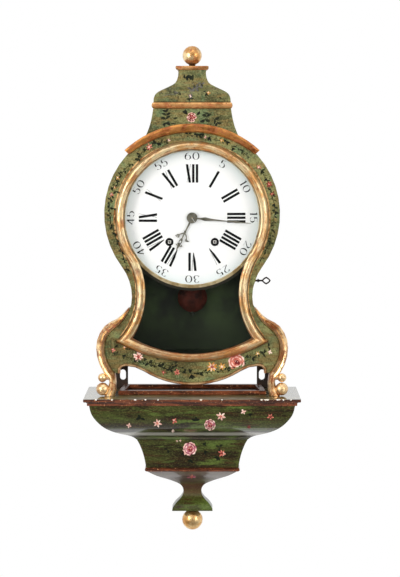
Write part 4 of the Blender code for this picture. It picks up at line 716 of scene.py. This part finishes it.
class Painter:
    """Collects strokes by colour and lays them on one ground."""

    def __init__(self, ground):
        self.ground = ground
        self.meshes = {}
        self.draw = Random(PAINT_SEED)

    def dab(self, colour, outline, layer=0):
        mesh = self.meshes.setdefault(colour, bmesh.new())
        stroke(mesh, self.ground, outline, layer)

    def petals(self, colour, x, y, reach, count, wide, turn, layer):
        for k in range(count):
            a = turn + 360 * k / count + self.draw.uniform(-9, 9)
            r = reach * self.draw.uniform(0.85, 1.1)
            u, v = x + 0.55 * r * cos(radians(a)), y + 0.55 * r * sin(radians(a))
            self.dab(colour, leaf(u, v, 0.95 * r, wide * r, a), layer)

    def curls(self, colour, x, y, out, count, long, wide, turn, layer):
        """Bent strokes that lie round a middle, like the edges of petals."""
        for k in range(count):
            a = turn + 360 * k / count + self.draw.uniform(-12, 12)
            u, v = x + out * cos(radians(a)), y + out * sin(radians(a))
            self.dab(colour, leaf(u, v, long, wide, a + 90, -0.16 * long), layer)

    def rose(self, x, y, size, edge=PALE, body=PINK):
        for k in range(8):
            a = radians(45 * k + self.draw.uniform(-10, 10))
            out = 0.62 * size * self.draw.uniform(0.9, 1.1)
            self.dab(body, blot(x + out * cos(a), y + out * sin(a), 0.36 * size, self.draw), 0)
        self.curls(edge, x, y, 0.80 * size, 8, 0.60 * size, 0.22 * size, 8, 1)
        self.dab(body, blot(x, y, 0.60 * size, self.draw, 12), 2)
        self.curls(edge, x, y, 0.50 * size, 6, 0.46 * size, 0.17 * size, 30, 3)
        self.dab(RED, blot(x + 0.03 * size, y + 0.05 * size, 0.36 * size, self.draw, 11), 4)
        self.curls(PINK, x, y, 0.27 * size, 4, 0.30 * size, 0.12 * size, 70, 5)
        self.curls(edge, x, y - 0.05 * size, 0.10 * size, 2, 0.20 * size, 0.08 * size, 20, 6)

    def daisy(self, x, y, size, colour, heart, count=8):
        self.petals(colour, x, y, size, count, 0.42, 15, 0)
        self.dab(heart, blot(x, y, 0.3 * size, self.draw), 1)

    def bud(self, x, y, size, colour, turn=0):
        self.petals(colour, x, y, size, 4, 0.6, turn, 0)
        self.dab(PALE, blot(x - 0.15 * size, y - 0.2 * size, 0.28 * size, self.draw, 7), 1)

    def leaves(self, x, y, size, *turns, colour=LEAF_DARK):
        for k, turn in enumerate(turns):
            a = radians(turn)
            u, v = x + 0.5 * size * cos(a), y + 0.5 * size * sin(a)
            wide = size * self.draw.uniform(0.42, 0.60)
            self.dab(colour, leaf(u, v, size, wide, turn, 0.12 * size * (-1) ** k), 0)

    def garland(self, *line, every=2.6, size=3.4):
        """A stem with leaves on both its sides."""
        self.stem(LEAF_DARK, *line, wide=0.7)
        side = 1
        for (x0, y0), (x1, y1) in zip(line, line[1:]):
            long = hypot(x1 - x0, y1 - y0)
            turn = atan2(y1 - y0, x1 - x0) * 180 / pi
            for k in range(int(long / every)):
                share = (k + self.draw.uniform(0.2, 0.8)) * every / long
                x, y = x0 + (x1 - x0) * share, y0 + (y1 - y0) * share
                colour = LEAF_DARK if self.draw.random() < 0.6 else LEAF_MID
                way = turn + side * self.draw.uniform(35, 75)
                self.leaves(x, y, size * self.draw.uniform(0.7, 1.15), way, colour=colour)
                side = -side

    def stem(self, colour, *line, wide=0.5):
        for (x0, y0), (x1, y1) in zip(line, line[1:]):
            long = hypot(x1 - x0, y1 - y0)
            turn = atan2(y1 - y0, x1 - x0) * 180 / pi
            self.dab(colour, leaf((x0 + x1) / 2, (y0 + y1) / 2, long * 1.15, wide, turn, 0.06 * long), 0)

    def hand_over(self, where):
        """Turns the strokes into one piece for each colour."""
        for colour, mesh in self.meshes.items():
            piece(f"{where}_painted_{STROKES[colour]}", mesh, colour, "case")


STROKES = {
    LEAF_DARK: "leaves",
    LEAF_DEEP: "deep_leaves",
    LEAF_MID: "olive_leaves",
    LEAF_GREY: "grey_stems",
    PINK: "pink_petals",
    MAUVE: "mauve_petals",
    PALE: "pale_petals",
    RED: "red_petals",
    YELLOW: "yellow_petals",
}


BRACKET_GROUND = "bracket_upper_body", "bracket_lower_body", "bracket_pendant"
painter = Painter(Ground("case_front_board", "pediment_base", "pediment_top", *BRACKET_GROUND))
leaves, stem, garland = painter.leaves, painter.stem, painter.garland
rose, daisy, bud, petals = painter.rose, painter.daisy, painter.bud, painter.petals

# Pediment
leaves(184.5, 74.5, 4.4, 80)
leaves(188, 74.8, 6, 95, 60)
leaves(193.2, 74.5, 6.2, 95, 120)
stem(LEAF_GREY, (192, 83), (195.5, 86), (192, 90), (189, 92))
stem(LEAF_GREY, (203, 83), (200, 86.5), (196, 89.5), (192, 93.5))
leaves(194, 84.5, 3.6, 70)
leaves(198.5, 84, 3.4, 100)
leaves(202.2, 83, 4, 85)
leaves(177, 93, 4.6, 190, 25)
stem(LEAF_GREY, (162, 95.5), (170, 94), (177, 93.5))
bud(190.5, 95.8, 2.6, LEAF_GREY, 30)
leaves(190, 98, 4, 10, 165, 100)
bud(208.5, 92.8, 2.0, YELLOW, 10)
leaves(206.5, 92.5, 3.8, 200, 110, 60)
leaves(219, 97.2, 2.6, 20)
rose(191.6, 117.3, 5.0, PALE, RED)
leaves(187.3, 114.6, 6.0, 215, 250)
leaves(196.6, 115, 5.0, 310)
stem(LEAF_DARK, (164, 123.8), (170, 123), (176.5, 123.4), wide=1.0)
stem(LEAF_DARK, (165, 121), (166.6, 116), (166, 111.8))
leaves(166.5, 115.5, 5.2, 200, 330)
leaves(166, 119.5, 5.8, 195, 320)
leaves(166, 112.6, 4.4, 215, 300)
leaves(165.5, 122.6, 5.6, 110, 30)
leaves(173, 118.2, 4.6, 350)
stem(LEAF_DARK, (203.5, 120.5), (207, 116.5), (211, 112.2))
leaves(206.8, 116.8, 5.4, 200, 330)
leaves(205, 119.2, 5.8, 20, 150)
leaves(209, 114, 4.4, 190)
stem(LEAF_DARK, (213, 117.6), (216.5, 121.5), (220.5, 124))
leaves(214.5, 119, 5.4, 340, 95)
leaves(217, 122.4, 4.8, 10, 120)
# Round the head
leaves(188.6, 134.6, 4.2, 200, 330)
leaves(199.5, 134.4, 4.4, 60, 190, 350)
bud(205.4, 137.2, 1.8, PALE)
leaves(207.5, 137.6, 3.6, 20, 80)
garland((186, 135.4), (195, 135), (205, 136.6), (213, 139), (221, 140.8), (228, 142), every=2.2, size=3.2)
garland((231, 145), (237, 147.4), (243, 151.5), (250, 157.5), every=3, size=2.8)
bud(221.8, 140.6, 2.2, YELLOW, 20)
leaves(226.5, 141.2, 4.2, 20, 80, 190)
stem(LEAF_DARK, (231.5, 147.5), (234, 145.8), (237, 147.2))
leaves(232.5, 147.6, 3.8, 30, 100)
stem(LEAF_DARK, (240.5, 148.6), (243.2, 151), (242.5, 154.5))
leaves(242, 151, 3.4, 200, 100)
leaves(156.5, 143, 4.8, 170, 220, 20)
garland((136, 161), (142, 152.5), (149, 147), (156.5, 143), (163, 141.6), (169, 140.4), every=2.2, size=3.2)
leaves(166, 141.6, 3.2, 40)
bud(168.8, 140.2, 1.7, PALE)
daisy(149, 147, 3.6, PINK, PALE, 6)
leaves(146.2, 149.6, 3.4, 130, 190)
stem(LEAF_DARK, (144, 150), (140.5, 155), (136.5, 160.5))
leaves(140, 154, 4, 100, 200)
leaves(138, 158.5, 3.8, 150, 60)
leaves(131, 164, 3.4, 120, 40)
leaves(126, 170.5, 3.2, 100)
for x, y, turn in ((121, 175, 110), (115.5, 178, 60), (118, 184.5, 140), (112, 187, 80), (116, 191, 20)):
    leaves(x, y, 4, turn, turn + 120)
for x, y, turn in ((111, 199, 60), (109.5, 205, 110), (113.5, 208, 30), (110, 216, 70), (112.5, 224, 100)):
    leaves(x, y, 3.8, turn, turn + 140)
for x, y, turn in ((115, 233, 60), (118.5, 242, 110), (122, 251, 60), (124.5, 260, 80), (127.5, 269, 40)):
    leaves(x, y, 3.6, turn, turn + 130)
garland((131, 164), (122, 174), (116, 182), (112.5, 192), (110, 204), (110, 216), (113, 229), (118, 241))
garland((118, 241), (122.5, 252), (126, 263), (128.6, 274), size=2.6, every=3.4)
bud(118, 178, 2.2, YELLOW, 40)
bud(111.4, 194.6, 2.4, PINK, 10)
bud(115, 187.5, 1.8, YELLOW, 70)
daisy(258.8, 167.3, 2.6, PINK, PALE, 5)
leaves(261.5, 170.5, 4.2, 40, 100, 330)
daisy(269, 184.4, 3.4, RED, PINK, 6)
leaves(266, 178, 3.8, 60, 120)
leaves(271, 189.5, 3.6, 80, 200)
daisy(272, 193.8, 3.2, RED, PINK, 5)
leaves(274.5, 203.5, 3.6, 80, 140)
leaves(275.5, 211.5, 4, 30, 100, 200)
leaves(273, 222, 3.2, 110)
leaves(274, 230, 3.4, 80, 190)
leaves(270.8, 242, 3.8, 110, 210, 40)
leaves(266, 252, 3.2, 120)
garland((259, 166), (267, 179), (271.5, 190), (274.5, 203), (275, 214), (273.5, 228), (270, 243), every=3.0)
garland((270, 243), (264, 255), (259, 265), size=2.4, every=4)
# Apron
bud(113.2, 350, 2.4, PINK, 20)
leaves(115, 347, 3.6, 320, 200)
daisy(124.6, 347.2, 2.4, YELLOW, PALE, 5)
leaves(122, 355.5, 4.4, 350, 60)
leaves(128.5, 350, 4.2, 200, 330)
daisy(138.2, 356.6, 5.2, PALE, RED, 9)
petals(PINK, 138.2, 356.6, 3.8, 5, 0.34, 40, 1)
leaves(133, 348.6, 3.6, 220, 280)
leaves(143.6, 350.2, 3.8, 330)
leaves(144, 358, 3.8, 30, 80)
garland((112, 352), (122, 355), (133, 358.5), (146, 363), (160, 367), (176, 370), (190, 373), (203, 371.5))
garland((200, 372), (214, 371.5), (227, 369), (240, 363.5), (252, 357), (266, 350.5), every=2.4)
garland((146, 361), (155, 362.5), (166, 365), (178, 366), (186, 369.5), every=2.2, size=3)
leaves(149, 363.5, 5, 150, 320)
leaves(153, 365.4, 4.4, 20, 250)
leaves(158.8, 359.8, 3.2, 200)
daisy(163.4, 372.4, 2.6, RED, PINK, 5)
leaves(162, 367, 5, 200, 300, 20)
leaves(170.5, 368.5, 4.8, 330, 160, 60)
leaves(175.5, 364.2, 3.6, 80, 300)
daisy(177.2, 372.4, 3.4, PINK, RED, 6)
leaves(182.5, 371, 4, 330, 40)
leaves(189.5, 373, 4.6, 260, 310)
leaves(191.5, 374.4, 5.2, 40, 120, 70)
leaves(199.5, 374.4, 4.6, 320, 20, 190)
daisy(212, 366.8, 5.6, YELLOW, RED, 8)
petals(PALE, 212, 366.8, 4.4, 5, 0.3, 30, 1)
daisy(221.8, 366.6, 3.8, YELLOW, PALE, 6)
leaves(227, 369.4, 4, 20, 330)
rose(236.6, 361.8, 8.4)
leaves(245, 358, 4.4, 310, 350)
leaves(229.5, 357.6, 3.8, 210, 260)
daisy(257.6, 353.6, 2.6, YELLOW, PALE, 5)
leaves(252, 358.2, 4, 330, 60)
leaves(263.5, 353.4, 4.2, 200, 320, 60)
bud(270, 352.2, 2.4, PALE, 15)
leaves(268, 346.8, 4, 280, 60)
# Bracket
bud(129, 425.8, 2.6, PALE, 10)
daisy(157.3, 423.2, 4.4, PALE, PINK, 6)
bud(174.4, 420.7, 3, PINK, 30)
leaves(140.6, 418.6, 4.8, 170, 20, 230, colour=LEAF_DEEP)
leaves(195.5, 421, 4.6, 200, 340, 270, colour=LEAF_DEEP)
rose(210, 424.8, 5.8, PALE, MAUVE)
daisy(220.8, 416.4, 4.6, PALE, PINK, 6)
bud(243.4, 412, 2.8, PALE, 330)
leaves(248.6, 413.6, 4, 10, 60, colour=LEAF_DEEP)
daisy(270.4, 416.8, 3.4, PINK, RED, 5)
daisy(249, 427.2, 2.2, RED, RED, 5)
bud(173, 431, 1.6, PALE, 0)
rose(189.8, 448.8, 7.0, PALE, MAUVE)
leaves(184.5, 453, 3.6, 150, 110, colour=LEAF_DEEP)
petals(PALE, 185.4, 451.6, 3.2, 3, 0.5, 100, 1)
leaves(167.6, 449.6, 4, 190, 80, colour=LEAF_DEEP)
leaves(202.5, 444.4, 4.2, 330, 20, colour=LEAF_DEEP)
leaves(204.5, 450.6, 4.4, 20, 80, colour=LEAF_DEEP)
stem(LEAF_DEEP, (190, 456), (191.5, 460), (189.5, 463.5))
leaves(191, 459.4, 4.2, 60, 150, colour=LEAF_DEEP)
daisy(222, 453.2, 3.8, PINK, RED, 6)
bud(223.6, 453.6, 2, PALE, 0)
leaves(219.5, 447.4, 4.4, 200, 320, 80)
leaves(218, 456.6, 4.4, 60, 170, 100)
bud(177, 441, 1.2, PALE)
bud(180.4, 440.6, 1.2, PALE)
leaves(191.5, 477.0, 4.4, 175, 5, colour=MAUVE)
petals(PINK, 191.8, 476.6, 1.9, 4, 0.5, 10, 1)
# Grey vine on the pediment's top
stem(LEAF_GREY, (187, 87), (191, 89.6), (196, 88), (201, 85), (204, 82.5), wide=0.9)
leaves(191.5, 89.4, 4.2, 20, 110, 200, colour=LEAF_GREY)
leaves(196.5, 87.6, 4.4, 60, 300, 150, colour=LEAF_GREY)
leaves(201.5, 84.8, 3.8, 80, 330, 210, colour=LEAF_GREY)
daisy(190.6, 96.6, 2.6, LEAF_GREY, PALE, 6)
leaves(178, 92.6, 4.4, 150, 200, colour=LEAF_GREY)

painter.hand_over("front")


SIDE_Y, SIDE_Z, SIDE_PIXEL = -0.066, 0.400, 0.002


class SideGround(Ground):
    """One side of the case, looked at squarely, in pixels from the middle of its spray."""

    def __init__(self, name, side):
        super().__init__(name)
        self.side = side

    def look(self, x, y):
        start = Vector((self.side, SIDE_Y + self.side * SIDE_PIXEL * x, SIDE_Z - SIDE_PIXEL * y))
        return start, Vector((-self.side, 0, 0))


# A spray of flowers on each side of the case
for name, side in (("left", -1), ("right", 1)):
    painter = Painter(SideGround(f"case_{name}_side", side))
    painter.garland((-4, -34), (2, -22), (-3, -10), (1, 2), (-2, 14), (3, 28), every=2.4, size=4.4)
    painter.garland((1, 2), (12, -6), (18, -14), every=2.6, size=3.8)
    painter.garland((-3, -10), (-13, -3), (-18, 6), every=2.6, size=3.8)
    painter.rose(0, 0, 8)
    painter.daisy(-13, -3, 4.6, PALE, RED, 7)
    painter.daisy(14, -9, 4.2, PINK, PALE, 6)
    painter.daisy(-4, -30, 3.6, YELLOW, RED, 6)
    painter.bud(4, 20, 3, PINK, 30)
    painter.bud(-18, 8, 2.6, YELLOW, 10)
    painter.bud(19, -16, 2.4, PALE, 40)
    painter.hand_over(name)

# White gesso shows where the paint is chipped along the shelf's front edge
EDGE_ROW = 398.7  # the edge's row in the picture
SHELF_PIXEL = 0.0019  # metres to a pixel there
chips = bmesh.new()
draw = Random(CHIP_SEED)


def chip(middle, long):
    """A flake lost from the edge, over its top and its front. Both sizes are in the picture's pixels."""
    way = sight(middle, EDGE_ROW)
    x = EYE.x + way.x * (SHELF_FRONT - EYE.y) / way.y
    front, top = SHELF_FRONT, SHELF_TOP
    rings = []
    for k in range(7):
        fat = sin(pi * k / 6) ** 0.6 * draw.uniform(0.6, 1.2) + 0.04
        u = x + SHELF_PIXEL * long * (k / 6 - 0.5)
        low, back = top - 0.0004 - 0.0018 * fat, front + 0.0034 * fat
        skin = [(front - 0.0002, low), (front - 0.0002, top), (back, top + 0.0002)]
        skin += [(back, top - 0.0003), (front + 0.0009, top - 0.0009), (front + 0.0003, low)]
        rings.append([Vector((u, y, z)) for y, z in skin])
    ring_faces(chips, rings)


CHIPS = (96, 1.4), (112, 1.9), (135, 2.4), (145.5, 1.9), (158, 1.3), (201, 2.6), (222, 1.3)
CHIPS += (261.5, 2.6), (266.5, 5.0), (278.5, 4.3), (283.5, 1.7), (291, 1.5)
for middle, long in CHIPS:
    chip(middle, long)
piece("chipped_gesso", chips, GESSO, "case")


# Numerals, drawn upright over the middle of the dial and turned to their hour
INK_LIFT, INK_SINK = 0.00022, 0.0001
HOUR_LOW, HOUR_TOP = 0.0650, 0.0990
THICK, HAIR, LEAN, V_TIP = 0.0045, 0.0006, 0.0027, 0.15
V_SHIFT, HAIR_SHIFT = 0.0008, 0.0012
ADVANCE = {"I": 0.0069, "V": 0.0096, "X": 0.0112}
ROMAN = ("XII", "I", "II", "III", "IIII", "V", "VI", "VII", "VIII", "IX", "X", "XI")
MINUTE_LOW, DIGIT_HIGH, DIGIT_GAP = 0.1075, 0.0134, 0.12
PEN_HAIR, PEN_SWELL = 0.00014, 0.00102


def dome_y(out):
    """The enamel's face at a distance from the dial's middle."""
    return DIAL_EDGE_Y - DIAL_DOME * (1 - (out / DIAL_R) ** 2)


def on_dial(u, v, turn, lift):
    """A point u to the right and v above the dial's middle, turned clockwise, over the domed enamel."""
    a = radians(turn)
    x, z = u * cos(a) + v * sin(a), v * cos(a) - u * sin(a)
    return Vector((x, dome_y(hypot(u, v)) - lift, DIAL_Z + z))


def enamel_bar(mesh, turn, *outline):
    """A bar of black enamel that lies on the dial."""
    slab(mesh, *[[on_dial(u, v, turn, lift) for u, v in outline] for lift in (INK_LIFT, -INK_SINK)])


def sloped(mesh, turn, low_u, top_u, wide, tip=1.0):
    """One bar of a numeral, with points enough to follow the dome. A V's bar is thin at its tip."""
    edge = []
    for s in (0, 0.22, 0.45, 0.75, 1):
        half = wide / 2 * (tip + (1 - tip) * min(1, s / 0.45))
        edge.append((low_u + (top_u - low_u) * s, HOUR_LOW + (HOUR_TOP - HOUR_LOW) * s, half))
    enamel_bar(mesh, turn, *[(u - h, v) for u, v, h in edge], *[(u + h, v) for u, v, h in reversed(edge)])


hours = bmesh.new()
for hour, letters in enumerate(ROMAN):
    turn = 30 * hour
    left = -sum(ADVANCE[c] for c in letters) / 2
    for letter in letters:
        mid = left + ADVANCE[letter] / 2
        if letter == "I":
            sloped(hours, turn, mid, mid, THICK)
        elif letter == "V":
            sloped(hours, turn, mid + V_SHIFT, mid - LEAN, THICK, V_TIP)
            sloped(hours, turn, mid + HAIR_SHIFT, mid + LEAN + HAIR_SHIFT, HAIR)
        else:
            sloped(hours, turn, mid + LEAN, mid - LEAN, THICK)
            sloped(hours, turn, mid - LEAN, mid + LEAN + HAIR_SHIFT, HAIR)
        left += ADVANCE[letter]
piece("hour_numerals", hours, BLACK, "case")


def bowl(x, y, wide, high, start, end, steps=14):
    """Part of an oval, in degrees anticlockwise from the right."""
    line = [radians(start + (end - start) * k / steps) for k in range(steps + 1)]
    return [(x + wide * cos(a), y + high * sin(a)) for a in line]


DIGITS = {  # how far each one advances, and its strokes in a box one high
    "0": (1.02, [bowl(0.5, 0.5, 0.40, 0.5, 0, 360, 24)]),
    "1": (0.50, [[(0.25, 0), (0.25, 0.5), (0.25, 1)], [(0.06, 0.86), (0.25, 1)], [(0.06, 0), (0.44, 0)]]),
    "2": (
        0.92,
        [bowl(0.42, 0.72, 0.32, 0.28, 170, -30) + [(0.42, 0.30), (0.08, 0.02)], [(0.08, 0.03), (0.78, 0.05)]],
    ),
    "3": (0.86, [bowl(0.36, 0.76, 0.28, 0.24, 160, -80) + bowl(0.38, 0.28, 0.34, 0.28, 80, -160)]),
    "4": (
        0.96,
        [[(0.62, 0), (0.62, 0.5), (0.62, 1)], [(0.62, 1), (0.05, 0.28)], [(0.05, 0.28), (0.86, 0.28)]],
    ),
    "5": (
        0.86,
        [[(0.16, 0.98), (0.70, 0.98)], [(0.16, 0.98), (0.14, 0.56)] + bowl(0.38, 0.32, 0.34, 0.32, 130, -150)],
    ),
    "6": (0.96, [bowl(0.46, 0.32, 0.36, 0.32, 0, 360, 22), bowl(0.66, 0.32, 0.56, 0.66, 180, 100)]),
}


def pen(mesh, turn, line, left):
    """A stroke of a broad pen: thick where it runs up or down, a hairline where it runs across."""
    points = [(left + x * DIGIT_HIGH, MINUTE_LOW + y * DIGIT_HIGH) for x, y in line]
    sides = []
    for k, (u, v) in enumerate(points):
        (a, b), (c, d) = points[max(k - 1, 0)], points[min(k + 1, len(points) - 1)]
        if points[0] == points[-1] and k in (0, len(points) - 1):
            (a, b), (c, d) = points[-2], points[1]
        du, dv = c - a, d - b
        size = hypot(du, dv)
        half = PEN_HAIR + PEN_SWELL * abs(dv / size) ** 1.8
        du, dv = du / size * half, dv / size * half
        sides.append(((u - dv, v + du), (u + dv, v - du)))
    for first, second in zip(sides, sides[1:]):
        enamel_bar(mesh, turn, first[0], second[0], second[1], first[1])


minutes = bmesh.new()
for step in range(12):
    figures = str(5 * step or 60)
    left = -sum(DIGITS[c][0] + DIGIT_GAP for c in figures) * DIGIT_HIGH / 2
    for figure in figures:
        advance, lines = DIGITS[figure]
        for line in lines:
            pen(minutes, 30 * step, line, left + DIGIT_GAP * DIGIT_HIGH / 2)
        left += (advance + DIGIT_GAP) * DIGIT_HIGH
piece("minute_numerals", minutes, BLACK, "case")


def turned_ring(profile, at, steps=40):
    """A closed ring, turned from points of radius and depth round an axis that points to the front."""
    mesh = bmesh.new()
    rings = []
    for k in range(steps):
        a = 2 * pi * k / steps
        rings.append([at + Vector((r * cos(a), depth, r * sin(a))) for r, depth in profile])
    ring_faces(mesh, rings, closed=True)
    return mesh


# Black bushes in the winding holes, their black standing in for the shade inside the holes
BUSH = (0.0054, 0.0030), (0.0072, 0.0030), (0.0076, -0.0002)
BUSH += (0.0072, -0.0007), (0.0060, -0.0008), (0.0054, -0.0003)
for side, name in ((-1, "left"), (1, "right")):
    at = Vector((side * WINDING_X, dome_y(hypot(WINDING_X, WINDING_DROP)), DIAL_Z - WINDING_DROP))
    made = piece(f"{name}_winding_bush", turned_ring(BUSH, at), BLACK, "case")
    made.data.shade_smooth()

# Taper pin through the arbor's end, over the hands' collet
PIN_Y, PIN_TURN = -0.1394, radians(-58)
PIN_START, PIN_STEP = -0.0008, 0.0025
PIN_R, PIN_TAPER = 0.00042, 0.00006
pin_mesh = bmesh.new()
pin_rings = []
for step in range(5):
    along, r = PIN_START + PIN_STEP * step, PIN_R + PIN_TAPER * step
    c, s = cos(PIN_TURN), sin(PIN_TURN)
    spot = Vector((along * c, PIN_Y, DIAL_Z + along * s))
    angles = [2 * pi * k / 10 for k in range(10)]
    pin_rings.append([spot + r * Vector((-s * cos(t), sin(t), c * cos(t))) for t in angles])
ring_faces(pin_mesh, pin_rings)
# The pin's near-white steel and its turn stand in for the glint on the hub, as a painted highlight
piece("hand_taper_pin", pin_mesh, PIN_HIGHLIGHT_STEEL, "minute_work")

# A thin dark batten along the outer edge of each rear foot
BATTEN_X, BATTEN_WIDE = 0.1441, 0.0064
BATTEN_LOW, BATTEN_TOP = SHELF_TOP + 0.0003, 0.1195
BATTEN_FRONT, BATTEN_BACK = -0.0138, -0.0056
for side, name in ((-1, "left"), (1, "right")):
    near, far = side * BATTEN_X, side * (BATTEN_X + BATTEN_WIDE)
    corners = ((near, BATTEN_LOW), (far, BATTEN_LOW), (far, BATTEN_TOP), (near, BATTEN_TOP))
    batten = bmesh.new()
    slab(batten, *[[Vector((x, y, z)) for x, z in corners] for y in (BATTEN_FRONT, BATTEN_BACK)])
    piece(f"{name}_foot_batten", batten, WOOD_DARK, "case")

# Small engraved leaves at the ends of the hour hand's curls: place, length, width and turn in the picture
HAND_LIFT, HAND_SINK = 0.00015, 0.0004
HAND_LEAVES = (
    (178.0, 234.9, 4.0, 1.7, 172),
    (179.0, 236.2, 2.8, 1.3, 112),
    (187.0, 240.4, 3.4, 1.3, 62),
    (188.0, 241.1, 2.6, 1.0, 25),
    (185.2, 231.4, 2.8, 1.2, 32),
    (178.4, 243.4, 3.2, 1.3, 22),
    (181.6, 245.6, 2.8, 1.0, 48),
)


def on_hand(x, y, lift):
    """The point of the hour hand's face that is seen there."""
    way = sight(x, y)
    return EYE + way * ((HOUR_HAND_FACE - lift - EYE.y) / way.y)


hand_leaves = bmesh.new()
for x, y, long, wide, turn in HAND_LEAVES:
    edge = leaf(x, y, long, wide, turn, 0.2)
    slab(hand_leaves, *[[on_hand(u, v, lift) for u, v in edge] for lift in (HAND_LIFT, -HAND_SINK)])
piece("hour_hand_leaves", hand_leaves, HAND, "hour_work")

# Stage
floor_mesh = bmesh.new()
bmesh.ops.create_grid(floor_mesh, x_segments=1, y_segments=1, size=FLOOR_HALF)
floor_data = bpy.data.meshes.new("floor")
floor_mesh.to_mesh(floor_data)
floor_mesh.free()
floor = bpy.data.objects.new("floor", floor_data)
floor.location = FLOOR_AT
scene.collection.objects.link(floor)
floor_data.materials.append(pale_floor())

# White all round, but dim behind the camera where polished surfaces mirror the room
world = bpy.data.worlds.new("studio")
scene.world = world
world.use_nodes = True
room = Shading(world.node_tree)
way = room.node("ShaderNodeTexCoord", out="Generated")
across, depth, height = [room.node("ShaderNodeSeparateXYZ", {}, {0: way}, out=k) for k in range(3)]
bright = depth.rise(-0.1, 0.45).most((0 - across).rise(0.25, 0.70))
bright = bright.most(across.rise(0.30, 0.75) * 0.95).most(height.rise(0.15, 0.70) * 0.9)
mirrored = FRONT_DIM + (1 - FRONT_DIM) * bright
strength = AMBIENT + (1 - AMBIENT) * (room.ray("Camera") + room.ray("Transmission"))
strength = strength + room.ray("Glossy") * (mirrored - AMBIENT)
background = world.node_tree.nodes["Background"]
background.inputs["Color"].default_value = (1, 1, 1, 1)
room.link(background.inputs["Strength"], strength)


def softbox(name, at, wide, high, power, mirrored=True):
    """A soft lamp that points at the clock's middle."""
    data = bpy.data.lights.new(name, "AREA")
    data.shape = "RECTANGLE"
    data.size, data.size_y = wide, high
    data.energy = power
    lamp = bpy.data.objects.new(name, data)
    lamp.location = at
    lamp.rotation_euler = (LAMP_AIM - Vector(at)).to_track_quat("-Z", "Y").to_euler()
    lamp.visible_glossy = mirrored
    scene.collection.objects.link(lamp)


softbox("left_softbox", (-1.9, -2.3, 0.9), 1.0, 1.6, 36)
softbox("right_softbox", (2.0, -2.1, 0.8), 0.9, 1.6, 18)
softbox("top_softbox", (0.0, -1.2, 2.4), 1.4, 1.0, 6)
softbox("front_softbox", (0.1, -4.2, 0.95), 2.6, 1.2, 86, mirrored=False)

lens = bpy.data.cameras.new("camera")
lens.sensor_fit = "VERTICAL"
lens.sensor_height = SENSOR
lens.lens = FOCUS * SENSOR / HIGH
lens.clip_end = 60
camera = bpy.data.objects.new("camera", lens)
camera.location = EYE
camera.rotation_euler = (pi / 2 - TILT, 0, 0)
scene.collection.objects.link(camera)
scene.camera = camera
scene.view_settings.view_transform = "Standard"
